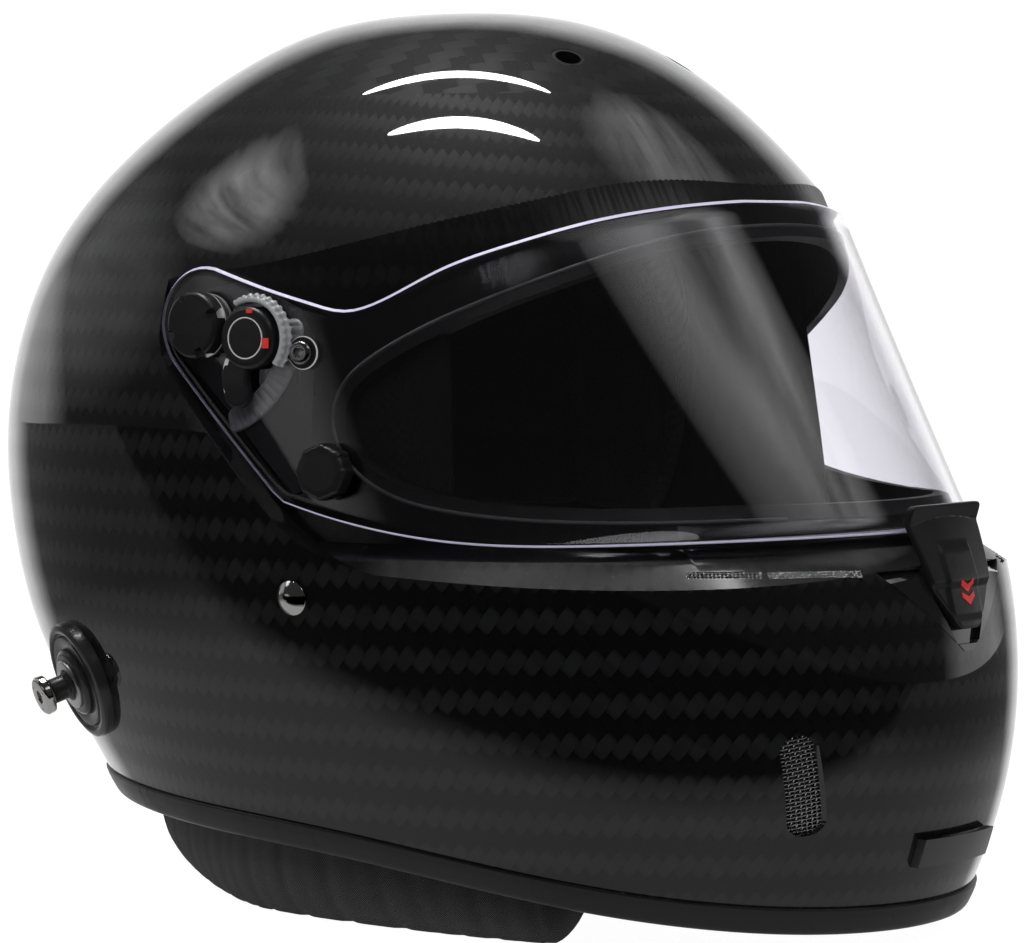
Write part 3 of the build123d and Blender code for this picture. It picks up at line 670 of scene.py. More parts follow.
    @cached_property
    def chart(self) -> tuple[Array, Array, Array]:
        """Arc lengths for the weave: round the widest level, and up from it at even turns.

        Returns:
            Lengths round, lengths up, and the whole length up at each turn.
        """
        count, widest = self.chart_turns + 1, self.knots[self.widest_level]
        turn = np.linspace(0, 2 * np.pi, count)
        place = np.linspace(0, self.pole, self.chart_rows + 1)
        grid = self.at(place[:, None], turn[None])
        rise = np.linalg.norm(np.diff(grid, axis=0), axis=2)
        up = np.concatenate([np.zeros((1, count)), np.cumsum(rise, axis=0)])
        row = np.full(count, widest / self.pole * self.chart_rows)
        start = between(up, row, np.arange(float(count)))
        return run_lengths(self.at(np.array(widest), turn)), up - start, up[-1] - start

    def weave(self, place: Array, turn: Array, top: Array) -> Array:
        """Where the cloth's own grid lies: arc lengths round and up, or from the pole on the top.

        Args:
            place: Places along the spline.
            turn: Angles round.
            top: True where the crown's own sheet of cloth lies.

        Returns:
            Pairs in millimetres.
        """
        round_, up, full = self.chart
        column, at = turn / (2 * np.pi) * self.chart_turns, np.arange(self.chart_turns + 1)
        rise = between(up, place / self.pole * self.chart_rows, column)
        rest = np.interp(column, at, full) - rise
        low = np.stack([np.interp(column, at, round_), rise], -1)
        high = np.stack([rest * np.sin(turn), rest * np.cos(turn)], -1) / self.crown_weave
        return np.where(top[..., None], high, low)


@dataclass(frozen=True)
class Lens:
    """The visor's D in plan and the recess floor that runs parallel to it."""

    half: float = 119.5
    middle: float = 20.0
    front: float = -164.5
    front_height: float = 125.0
    lean: float = 0.574
    power: float = 1.95
    thick: float = 2.5
    floor_side: float = 5.5
    floor_front: float = 3.7
    knee: float = 119.5
    drop: float = 14.0
    flare_side: float = 15.3
    flare_front: float = 24.6
    pivot: tuple[float, float] = (15.2, 183.1)
    ear: float = 17.5
    mean: float = 150.0

    def nose(self, z: Array) -> Array:
        """Y of the visor's front at heights: a straight line that leans back."""
        return self.front + self.lean * (z - self.front_height)

    def floor(self, z: Array, depth: float) -> tuple[Array, Array]:
        """Half width and front of the recess floor at heights, with the flare under its knee.

        Args:
            z: Heights.
            depth: Distance under the floor.

        Returns:
            The half width and the y of the front.
        """
        knee = self.knee - depth / 2
        part = np.clip((knee - z) / self.drop, 0, 2)
        half = self.half - self.floor_side - depth + part * self.flare_side
        nose = self.nose(np.maximum(z, knee)) + self.floor_front + depth - part * self.flare_front
        return half, nose

    def bow(self, angle: Array, half: Array, nose: Array) -> tuple[Array, Array]:
        """X and y of the D: half times sine, and front times cosine, each to 2 over the power.

        Args:
            angle: Angles from the front.
            half: Half widths.
            nose: Y of the front.

        Returns:
            X and y.
        """
        x = half * signed_power(np.sin(angle), 2 / self.power)
        y = self.middle + (nose - self.middle) * np.abs(np.cos(angle)) ** (2 / self.power)
        return x, y

    def inside(self, points: Array, depth: float) -> Array:
        """Points drawn in to the floor's surface where they lie outside it.

        Args:
            points: Points.
            depth: Distance under the floor.

        Returns:
            The points, moved.
        """
        x, y, z = np.moveaxis(points, -1, 0)
        half, nose = self.floor(z, depth)
        ahead = np.maximum(self.middle - y, 0) / (self.middle - nose)
        size = ((np.abs(x) / half) ** self.power + ahead ** self.power) ** (1 / self.power)
        scale = 1 / np.maximum(size, 1)
        behind = y > self.middle
        y_new = np.where(behind, y, self.middle + (y - self.middle) * scale)
        return np.stack([x * scale, y_new, z], -1)

    def width(self, y: Array, z: Array, inset: Union[float, Array] = 0.0) -> Array:
        """Half width of the visor's surface in side view."""
        ahead = np.maximum(self.middle - y, 0) / (self.middle - self.nose(z) - inset)
        return (self.half - inset) * (1 - np.minimum(ahead, 1) ** self.power) ** (1 / self.power)

    def seat(self, side: int, y: float, z: float, lift: float = 0.0) -> Seat:
        """A seat on the visor's outside, its first way towards the front.

        Args:
            side: 1 on the wearer's left, and -1 on the right.
            y: Place along the helmet.
            z: Height.
            lift: Distance out of the surface.

        Returns:
            The seat.
        """
        step = 1.0
        by_y = (self.width(y + step, z) - self.width(y - step, z)) / (2 * step)
        by_z = (self.width(y, z + step) - self.width(y, z - step)) / (2 * step)
        out = np.array([side, -by_y, -by_z], float)
        out /= np.linalg.norm(out)
        origin = np.array([side * self.width(y, z), y, z], float) + lift * out
        return Seat(origin, out, np.array([0, -1.0, 0]))

    def ear_point(self, angle: Array, radius: float) -> Array:
        """Y and z on a circle round the pivot, angles in degrees from the rear."""
        turn = np.radians(angle)
        return np.stack([self.pivot[0] + radius * np.cos(turn), self.pivot[1] + radius * np.sin(turn)], -1)


SKIN = Skin()
LENS = Lens()


# Finishes


class Recipe:
    """Writes one tree of shader nodes, with short calls for the nodes that it uses most."""

    def __init__(self, tree: bpy.types.NodeTree) -> None:
        """Starts on an empty tree.

        Args:
            tree: The tree to write.
        """
        self.tree = tree
        tree.nodes.clear()

    def node(self, kind: str, values: Optional[dict] = None, **settings: object) -> bpy.types.Node:
        """Adds a node.

        Args:
            kind: Its type.
            values: What each input gets, by name or number: a socket or a plain value.
            settings: Its own settings.

        Returns:
            The node.
        """
        made = self.tree.nodes.new(kind)
        for key, value in settings.items():
            setattr(made, key, value)
        for key, value in (values or {}).items():
            self.give(made.inputs[key], value)
        return made

    def give(self, socket: bpy.types.NodeSocket, value: object) -> None:
        """Wires a socket into an input, or sets the input to a plain value.

        Args:
            socket: The input.
            value: What it gets.
        """
        if isinstance(value, bpy.types.NodeSocket):
            self.tree.links.new(value, socket)
        else:
            socket.default_value = value

    def math(self, operation: str, *values: Value, clamp: bool = False) -> bpy.types.NodeSocket:
        """One step of arithmetic on values or sockets."""
        return self.node("ShaderNodeMath", dict(enumerate(values)), operation=operation,
                         use_clamp=clamp).outputs[0]

    def mix(self, share: Value, low: object, high: object) -> bpy.types.NodeSocket:
        """A colour between two colours.

        Args:
            share: Where between them.
            low: The first.
            high: The second.

        Returns:
            The colour.
        """
        made = self.node("ShaderNodeMix", data_type="RGBA")
        for number, value in ((0, share), (6, low), (7, high)):
            self.give(made.inputs[number], value)
        return made.outputs[2]

    def vector(self, operation: str, values: dict) -> bpy.types.Node:
        """One step of arithmetic on vectors."""
        return self.node("ShaderNodeVectorMath", values, operation=operation)

    def parts(self, place: Value) -> bpy.types.bpy_prop_collection:
        """The three numbers of a vector."""
        return self.node("ShaderNodeSeparateXYZ", {0: place}).outputs

    def noise(self, place: Value, scale: float, detail: float = 3.0,
              rough: float = 0.5) -> bpy.types.NodeSocket:
        """Soft random values at a place.

        Args:
            place: Where they are asked.
            scale: How many to a metre.
            detail: How fine they go.
            rough: How strong the fine ones are.

        Returns:
            The values.
        """
        made = self.node("ShaderNodeTexNoise", {"Vector": place, "Scale": scale, "Detail": detail,
                                                "Roughness": rough})
        return made.outputs[0]

    def remap(self, value: Value, *ends: float) -> bpy.types.NodeSocket:
        """A value moved from one range to another and kept in it, from both ranges' lows and highs."""
        return self.node("ShaderNodeMapRange", dict(enumerate((value, *ends)))).outputs[0]


def new_group(name: str, inputs: Sequence, outputs: Sequence) -> tuple[bpy.types.NodeTree, Recipe, dict]:
    """Starts a shader node group.

    Args:
        name: Its name.
        inputs: Pairs of name and socket type.
        outputs: Pairs of name and socket type.

    Returns:
        The group, its recipe, and the sockets of its inputs by name.
    """
    tree = bpy.data.node_groups.new(name, "ShaderNodeTree")
    for label, kind in inputs:
        tree.interface.new_socket(label, in_out="INPUT", socket_type=kind)
    for label, kind in outputs:
        tree.interface.new_socket(label, in_out="OUTPUT", socket_type=kind)
    recipe = Recipe(tree)
    source = recipe.node("NodeGroupInput")
    return tree, recipe, {label: source.outputs[label] for label, _ in inputs}


def close_group(recipe: Recipe, **values: Value) -> None:
    """Wires the outputs of a group."""
    recipe.node("NodeGroupOutput", values)


@lru_cache(maxsize=1)
def twill_group() -> bpy.types.NodeTree:
    """Two by two twill laid at 45 degrees.

    With a and b the places across the two sets of tows, in tows, warp lies on top where the
    difference of their whole numbers, over four, leaves less than two. Each float is two tows
    long, and its height is a half sine along it less the square of the distance from its middle.

    Returns:
        The group: Mask says which tow is on top, Height how high, and Tint how it varies.
    """
    tree, r, given = new_group("twill", (("Place", "NodeSocketVector"), ("Tow", "NodeSocketFloat")),
                               (("Mask", "NodeSocketFloat"), ("Height", "NodeSocketFloat"),
                                ("Tint", "NodeSocketFloat")))
    parts = r.parts(given["Place"])
    size = r.math("MULTIPLY", given["Tow"], 2 ** 0.5)
    a = r.math("DIVIDE", r.math("ADD", parts[0], parts[1]), size)
    b = r.math("DIVIDE", r.math("SUBTRACT", parts[0], parts[1]), size)
    cell_a, cell_b = r.math("FLOOR", a), r.math("FLOOR", b)
    part_a, part_b = r.math("FRACT", a), r.math("FRACT", b)
    phase = r.math("FLOORED_MODULO", r.math("SUBTRACT", cell_a, cell_b), 4.0)
    warp = r.math("LESS_THAN", phase, 1.5)
    along_warp = r.math("ADD", phase, part_a)
    along_weft = r.math("ADD", r.math("SUBTRACT", 3.0, phase), part_b)
    both = []
    for along, across in ((along_warp, part_b), (along_weft, part_a)):
        arch = r.math("SINE", r.math("MULTIPLY", along, np.pi / 2))
        off = r.math("SUBTRACT", r.math("MULTIPLY", across, 2.0), 1.0)
        fall = r.math("MULTIPLY", r.math("POWER", r.math("ABSOLUTE", off), 4.0), 0.5)
        both.append(r.math("SUBTRACT", arch, fall))
    height = r.math("ADD", r.math("MULTIPLY", warp, both[0]),
                    r.math("MULTIPLY", r.math("SUBTRACT", 1.0, warp), both[1]))
    cell = r.node("ShaderNodeCombineXYZ", {0: cell_a, 1: cell_b, 2: warp}).outputs[0]
    tint = r.node("ShaderNodeTexWhiteNoise", {0: cell}).outputs[0]
    close_group(r, Mask=warp, Height=height, Tint=tint)
    return tree


@lru_cache(maxsize=1)
def cloth_group() -> bpy.types.NodeTree:
    """Plain woven or knitted cloth: the product of two sines, one across and one along.

    Returns:
        The group: Height of the yarns, and Tint, their slow change of tone.
    """
    tree, r, given = new_group("cloth", (("Place", "NodeSocketVector"), ("Pitch", "NodeSocketFloat")),
                               (("Height", "NodeSocketFloat"), ("Tint", "NodeSocketFloat")))
    parts = r.parts(given["Place"])
    waves = [r.math("SINE", r.math("MULTIPLY", r.math("DIVIDE", part, given["Pitch"]), 2 * np.pi))
             for part in (parts[0], parts[1])]
    fuzz = r.noise(given["Place"], 1.7, 4.0, 0.7)
    height = r.math("ADD", r.math("MULTIPLY", waves[0], waves[1]), fuzz)
    close_group(r, Height=height, Tint=r.noise(given["Place"], 0.06, 3.0))
    return tree


@lru_cache(maxsize=1)
def grain_group() -> bpy.types.NodeTree:
    """Fine grain, broad smears and small scratches for moulded and metal pieces.

    Returns:
        The group: Fine and Broad noise, and Scratch, thin bright lines.
    """
    tree, r, given = new_group("grain", (("Place", "NodeSocketVector"), ("Scale", "NodeSocketFloat")),
                               (("Fine", "NodeSocketFloat"), ("Broad", "NodeSocketFloat"),
                                ("Scratch", "NodeSocketFloat")))
    place = r.vector("SCALE", {0: given["Place"], "Scale": given["Scale"]}).outputs[0]
    fine = r.noise(place, 1400.0, 2.0)
    broad = r.noise(place, 60.0, 4.0)
    stretched = r.node("ShaderNodeMapping", {"Vector": place, "Scale": (300.0, 300.0, 9.0)}).outputs[0]
    line = r.noise(stretched, 1.0, 2.0)
    scratch = r.remap(line, 0.62, 0.7, 0.0, 1.0)
    close_group(r, Fine=fine, Broad=broad, Scratch=scratch)
    return tree


@lru_cache(maxsize=1)
def dust_group() -> bpy.types.NodeTree:
    """Dust and fine specks that lie on what faces up.

    Returns:
        The group: Mask, from 0 to 1.
    """
    tree, r, given = new_group("dust", (("Place", "NodeSocketVector"), ("Amount", "NodeSocketFloat")),
                               (("Mask", "NodeSocketFloat"),))
    facing = r.parts(r.node("ShaderNodeNewGeometry").outputs["Normal"])[2]
    speck = r.remap(r.noise(given["Place"], 900.0, 1.0), 0.68, 0.74, 0.0, 1.0)
    film = r.remap(r.noise(given["Place"], 30.0, 5.0), 0.45, 0.8, 0.0, 0.4)
    up = r.remap(facing, 0.1, 0.9, 0.0, 1.0)
    mask = r.math("MULTIPLY", r.math("MULTIPLY", r.math("ADD", speck, film), up), given["Amount"])
    close_group(r, Mask=mask)
    return tree


@lru_cache(maxsize=1)
def panel_group() -> bpy.types.NodeTree:
    """A soft bright panel round the studio: one less the distance from its middle, in its reaches.

    Returns:
        The group: Mask, from 0 to 1, its edge and face broken up by streaks.
    """
    tree, r, given = new_group("panel", (("Way", "NodeSocketVector"), ("Centre", "NodeSocketVector"),
                                         ("Reach", "NodeSocketVector"), ("Streak", "NodeSocketFloat")),
                               (("Mask", "NodeSocketFloat"),))
    off = r.vector("SUBTRACT", {0: given["Way"], 1: given["Centre"]}).outputs[0]
    part = r.vector("DIVIDE", {0: off, 1: given["Reach"]}).outputs[0]
    size = r.vector("LENGTH", {0: part}).outputs["Value"]
    stretched = r.node("ShaderNodeMapping", {"Vector": given["Way"], "Rotation": (0.5, 0.35, 0.0),
                                             "Scale": (2.5, 2.5, 22.0)}).outputs[0]
    streak = r.math("MULTIPLY", r.math("SUBTRACT", r.noise(stretched, 1.0, 3.0), 0.5), given["Streak"])
    edge = r.remap(r.math("ADD", size, r.math("MULTIPLY", streak, 0.5)), 0.6, 1.15, 1.0, 0.0)
    face = r.math("ADD", r.math("MULTIPLY", streak, 2.2), 0.8)
    close_group(r, Mask=r.math("MULTIPLY", edge, r.math("MAXIMUM", face, 0.1)))
    return tree


@dataclass(frozen=True)
class Finish:
    """A finish that is made once and then shared."""

    name: str

    def material(self) -> bpy.types.Material:
        """The finish's material, made at the first call.

        Returns:
            The material.
        """
        known = bpy.data.materials.get(self.name)
        if known:
            return known
        made = bpy.data.materials.new(self.name)
        made.use_nodes = True
        recipe = Recipe(made.node_tree)
        shader = recipe.node("ShaderNodeBsdfPrincipled")
        recipe.node("ShaderNodeOutputMaterial", {"Surface": shader.outputs[0]})
        self.write(recipe, shader)
        return made

    def write(self, r: Recipe, shader: bpy.types.Node) -> None:
        """Writes the nodes behind the shader.

        Args:
            r: The tree's recipe.
            shader: The shader node.
        """
        raise NotImplementedError

    @staticmethod
    def group(r: Recipe, tree: bpy.types.NodeTree, values: dict) -> bpy.types.Node:
        """Places a node group in the tree.

        Args:
            r: The tree's recipe.
            tree: The group.
            values: What its inputs get.

        Returns:
            The group's node.
        """
        made = r.node("ShaderNodeGroup", node_tree=tree)
        for key, value in values.items():
            r.give(made.inputs[key], value)
        return made

    @staticmethod
    def here(r: Recipe, kind: str = "Object") -> bpy.types.NodeSocket:
        """Where the surface is, in the object's metres or in its own UV map."""
        return r.node("ShaderNodeTexCoord").outputs[kind]

    @staticmethod
    def bump(r: Recipe, shader: bpy.types.Node, height: Value, strength: float, depth: float) -> None:
        """Tilts the shader's normal by a height."""
        made = r.node("ShaderNodeBump", {"Height": height, "Strength": strength, "Distance": depth})
        r.give(shader.inputs["Normal"], made.outputs[0])


@dataclass(frozen=True)
class CarbonFinish(Finish):
    """Woven carbon under a thick clear coat, with a painted sheen on its tows and painted shade at their
    edges.
    """

    tow: float = 3.8
    stretch: float = 1.14
    # dark: the weave in painted shade; light: the tows on top at their full painted sheen
    dark: tuple = (0.0011, 0.0011, 0.0013, 1)
    light: tuple = (0.0115, 0.0118, 0.0132, 1)
    coat: float = 1.0
    coat_rough: float = 0.02

    def write(self, r: Recipe, shader: bpy.types.Node) -> None:
        """Twill drives colour, metal and tilt; the coat over it stays smooth. The colour carries a painted
        sheen and painted shade.

        Args:
            r: The tree's recipe.
            shader: The shader node.
        """
        place = r.node("ShaderNodeMapping", {"Vector": self.here(r, "UV"),
                                             "Scale": (1.0, 1 / self.stretch, 1.0)})
        weave = self.group(r, twill_group(), {"Place": place.outputs[0], "Tow": self.tow}).outputs
        dust = self.group(r, dust_group(), {"Place": self.here(r), "Amount": 0.05}).outputs[0]
        # Painted light: each tow lighter on its crown and darker towards its edges (painted shade), and the
        # tows on top far lighter than those beneath (painted sheen); Tint adds random tone.
        lit = r.math("MULTIPLY", r.remap(weave["Height"], -0.2, 0.5, 0.3, 1.0),
                     r.remap(weave["Mask"], 0.0, 1.0, 0.12, 1.0))
        lit = r.math("MULTIPLY", lit, r.remap(weave["Tint"], 0.0, 1.0, 0.7, 1.0))
        colour = r.mix(dust, r.mix(lit, self.dark, self.light), (0.30, 0.29, 0.28, 1))
        r.give(shader.inputs["Base Color"], colour)
        r.give(shader.inputs["Metallic"], r.remap(weave["Mask"], 0.0, 1.0, 0.0, 0.25))
        r.give(shader.inputs["Roughness"], r.remap(weave["Mask"], 0.0, 1.0, 0.6, 0.5))
        shader.inputs["Specular IOR Level"].default_value = 0.2
        shader.inputs["Coat Weight"].default_value = self.coat
        shader.inputs["Coat Roughness"].default_value = self.coat_rough
        shader.inputs["Coat IOR"].default_value = 1.55
        self.bump(r, shader, weave["Height"], 0.12, 0.0003)


@dataclass(frozen=True)
class MouldedFinish(Finish):
    """Moulded plastic, paint or rubber with its own grain."""

    colour: tuple = (0.012, 0.012, 0.013, 1)
    rough: float = 0.35
    grain: float = 0.1
    grain_scale: float = 1.0
    coat: float = 0.0
    dusty: float = 0.1

    def write(self, r: Recipe, shader: bpy.types.Node) -> None:
        """Grain drives roughness and tilt; smears and dust vary the colour.

        Args:
            r: The tree's recipe.
            shader: The shader node.
        """
        grain = self.group(r, grain_group(), {"Place": self.here(r), "Scale": self.grain_scale}).outputs
        dust = self.group(r, dust_group(), {"Place": self.here(r), "Amount": self.dusty}).outputs[0]
        pale = tuple(min(1.0, c * 1.35 + 0.002) for c in self.colour[:3]) + (1,)
        colour = r.mix(dust, r.mix(grain["Broad"], self.colour, pale), (0.32, 0.31, 0.30, 1))
        r.give(shader.inputs["Base Color"], colour)
        spread = r.math("MULTIPLY", grain["Scratch"], 0.08)
        rough = r.math("ADD", r.remap(grain["Broad"], 0.3, 0.7, self.rough * 0.85, self.rough * 1.15), spread)
        r.give(shader.inputs["Roughness"], rough)
        shader.inputs["Coat Weight"].default_value = self.coat
        shader.inputs["Coat Roughness"].default_value = 0.04
        self.bump(r, shader, grain["Fine"], self.grain, 0.0002)


@dataclass(frozen=True)
class MetalFinish(Finish):
    """Turned or polished metal."""

    colour: tuple = (0.62, 0.61, 0.59, 1)
    rough: float = 0.22
    brushed: float = 0.3

    def write(self, r: Recipe, shader: bpy.types.Node) -> None:
        """Smears vary colour and roughness, and fine scratches tilt the surface.

        Args:
            r: The tree's recipe.
            shader: The shader node.
        """
        grain = self.group(r, grain_group(), {"Place": self.here(r), "Scale": 1.5}).outputs
        dark = tuple(c * 0.8 for c in self.colour[:3]) + (1,)
        r.give(shader.inputs["Base Color"], r.mix(grain["Broad"], dark, self.colour))
        rough = r.remap(grain["Broad"], 0.3, 0.7, self.rough * 0.7, self.rough * 1.3)
        r.give(shader.inputs["Roughness"], rough)
        shader.inputs["Metallic"].default_value = 1.0
        self.bump(r, shader, r.math("ADD", grain["Fine"], grain["Scratch"]), self.brushed, 0.0001)


@dataclass(frozen=True)
class ClothFinish(Finish):
    """Cloth, webbing or foam, woven by its own UV map in millimetres."""

    # colour: darkest in the painted shade of the hollows between yarns; pale: lightest on their crowns, with
    # random tone between.
    colour: tuple = (0.012, 0.012, 0.014, 1)
    pale: tuple = (0.035, 0.035, 0.04, 1)
    pitch: float = 0.9
    depth: float = 0.0004
    strength: float = 0.6
    sheen: float = 0.25
    rough: float = 0.85

    def write(self, r: Recipe, shader: bpy.types.Node) -> None:
        """Yarns drive the tilt; their height paints shade into the colour, darker where they lie low, and
        Tint adds random tone.

        Args:
            r: The tree's recipe.
            shader: The shader node.
        """
        cloth = self.group(r, cloth_group(), {"Place": self.here(r, "UV"), "Pitch": self.pitch}).outputs
        dust = self.group(r, dust_group(), {"Place": self.here(r), "Amount": 0.25}).outputs[0]
        # Painted shade: the colour darkens in the hollows between yarns, by their height; the rest is random
        # tone.
        share = r.math("ADD", r.math("MULTIPLY", r.remap(cloth["Height"], -0.5, 1.6, 0.0, 1.0), 0.6),
                       r.math("MULTIPLY", cloth["Tint"], 0.4))
        colour = r.mix(dust, r.mix(share, self.colour, self.pale), (0.30, 0.29, 0.28, 1))
        r.give(shader.inputs["Base Color"], colour)
        rough = r.remap(cloth["Tint"], 0.2, 0.8, self.rough * 0.92, min(1.0, self.rough * 1.05))
        r.give(shader.inputs["Roughness"], rough)
        shader.inputs["Sheen Weight"].default_value = self.sheen
        shader.inputs["Sheen Roughness"].default_value = 0.5
        self.bump(r, shader, cloth["Height"], self.strength, self.depth)


@dataclass(frozen=True)
class ClearFinish(Finish):
    """Clear plastic with a faint smear in its polish."""

    colour: tuple = (0.93, 0.93, 0.96, 1)
    rough: float = 0.015
    ior: float = 1.5

    def write(self, r: Recipe, shader: bpy.types.Node) -> None:
        """Plain transmission; smears only vary the roughness.

        Args:
            r: The tree's recipe.
            shader: The shader node.
        """
        grain = self.group(r, grain_group(), {"Place": self.here(r), "Scale": 0.7}).outputs
        r.give(shader.inputs["Roughness"], r.remap(grain["Broad"], 0.4, 0.8, self.rough, self.rough * 3))
        shader.inputs["Base Color"].default_value = self.colour
        shader.inputs["Transmission Weight"].default_value = 1.0
        shader.inputs["IOR"].default_value = self.ior


class Look(Enum):
    """The helmet's finishes."""

    CARBON = CarbonFinish("carbon_weave_clear_coat")
    # The recess floor's weave: a fainter painted sheen on its tows, and a thinner coat.
    FLOOR = CarbonFinish("recess_floor_carbon", light=(0.006, 0.006, 0.007, 1), coat=0.35, coat_rough=0.12)
    GLOSS = MouldedFinish("recess_gloss_black", (0.006, 0.006, 0.0065, 1), 0.08, 0.02, 1.0, 0.6, 0.03)
    WALL = MouldedFinish("inner_wall_laminate", (0.02, 0.02, 0.021, 1), 0.5, 0.3, 0.6)
    RUBBER = MouldedFinish("edge_rubber_satin", (0.004, 0.004, 0.0045, 1), 0.42, 0.25, 1.0, 0.0, 0.1)
    GASKET = MouldedFinish("gasket_rubber_matt", (0.006, 0.006, 0.0065, 1), 0.55, 0.2, 1.0, 0.0, 0.05)
    # Grey on the gasket's bead: a painted highlight, the thin bright line along the black gasket.
    BEAD_HIGHLIGHT = MouldedFinish("gasket_bead_painted_highlight", (0.13, 0.13, 0.135, 1), 0.5, 0.1)
    # Pale lilac on the visor's rims: a painted highlight, the bright line of light along the clear sheet's
    # edge.
    RIM_HIGHLIGHT = MouldedFinish("visor_rim_painted_highlight", (0.56, 0.52, 0.68, 1), 0.25, 0.02)
    MILKY = MouldedFinish("ratchet_plastic_milky", (0.62, 0.62, 0.64, 1), 0.3, 0.05, 1.0, 0.2, 0.05)
    RIBBED = MouldedFinish("ribbed_plastic_milky", (0.24, 0.25, 0.26, 1), 0.22, 0.05, 1.0, 0.3, 0.05)
    SATIN = MouldedFinish("latch_plastic_satin", (0.0045, 0.0045, 0.005, 1), 0.38, 0.12, 1.2, 0.0, 0.03)
    BLACK = MouldedFinish("knob_plastic_black", (0.006, 0.006, 0.007, 1), 0.34, 0.08, 1.5, 0.0, 0.03)
    PLATE = MouldedFinish("side_plate_dark", (0.020, 0.021, 0.023, 1), 0.3, 0.1)
    ANCHOR = MouldedFinish("anchor_black_anodised", (0.010, 0.010, 0.011, 1), 0.3, 0.15, 2.0, 0.15)
    PALE = MouldedFinish("pale_plastic", (0.42, 0.42, 0.41, 1), 0.35, 0.1)
    NYLON = MouldedFinish("washer_nylon", (0.35, 0.35, 0.33, 1), 0.45, 0.1)
    RED = MouldedFinish("red_mark_paint", (0.5, 0.015, 0.012, 1), 0.35, 0.05)
    STEEL = MetalFinish("post_steel_turned", (0.50, 0.50, 0.50, 1), 0.25)
    BRIGHT = MetalFinish("bright_steel_polished", (0.72, 0.71, 0.69, 1), 0.12, 0.12)
    ALLOY = MetalFinish("washer_alloy_satin", (0.62, 0.62, 0.63, 1), 0.38, 0.4)
    WIRE = MetalFinish("vent_wire_bright", (0.55, 0.55, 0.55, 1), 0.25, 0.1)
    VISOR = ClearFinish("visor_clear_polycarbonate", (0.94, 0.93, 0.97, 1), 0.008, 1.5)
    ROLL = ClothFinish("neck_roll_cloth", (0.003, 0.003, 0.0035, 1), (0.010, 0.010, 0.012, 1), 0.8)
    PAD = ClothFinish("pad_knit_cloth", (0.005, 0.005, 0.006, 1), (0.018, 0.018, 0.021, 1), 1.1, 0.0005, 0.7)
    FOAM = ClothFinish("liner_foam_skin", (0.004, 0.004, 0.0045, 1), (0.011, 0.011, 0.012, 1),
                       2.4, 0.0004, 0.35, 0.1, 0.9)
    WEB = ClothFinish("strap_webbing", (0.008, 0.008, 0.009, 1), (0.035, 0.035, 0.038, 1),
                      1.3, 0.0006, 0.9, 0.2, 0.75)


def dress(piece: bpy.types.Object, look: Look) -> bpy.types.Object:
    """Gives a piece one finish.

    Args:
        piece: The piece or CAD node.
        look: Its finish.

    Returns:
        The piece.
    """
    made = look.value.material()
    if len(piece.material_slots) == 0:
        piece.data.materials.append(made)
    for slot in piece.material_slots:
        slot.link = "OBJECT"
        slot.material = made
    return piece


def settle(piece: bpy.types.Object, body: str, nodes: Sequence[str] = ()) -> bpy.types.Object:
    """Says what a new piece rides on and what it stands for.

    Args:
        piece: The piece.
        body: The CAD body.
        nodes: CAD nodes that it stands for.

    Returns:
        The piece.
    """
    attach(piece, body)
    if nodes:
        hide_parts(*nodes)
    LOG.info("made %s: %d faces, on %s", piece.name, len(piece.data.polygons), body)
    return piece


# Outlines in side view


def side_points(shares: Sequence) -> Array:
    """Places in side view from shares of the shell's half length and of its height."""
    return np.array(shares, float) * (SKIN.half_length, SKIN.top)


def arc(centre: tuple, radius: float, start: float, stop: float, count: int) -> Array:
    """Points on a circle between two angles in degrees."""
    turn = np.radians(np.linspace(start, stop, count))
    return np.stack([centre[0] + radius * np.cos(turn), centre[1] + radius * np.sin(turn)], 1)


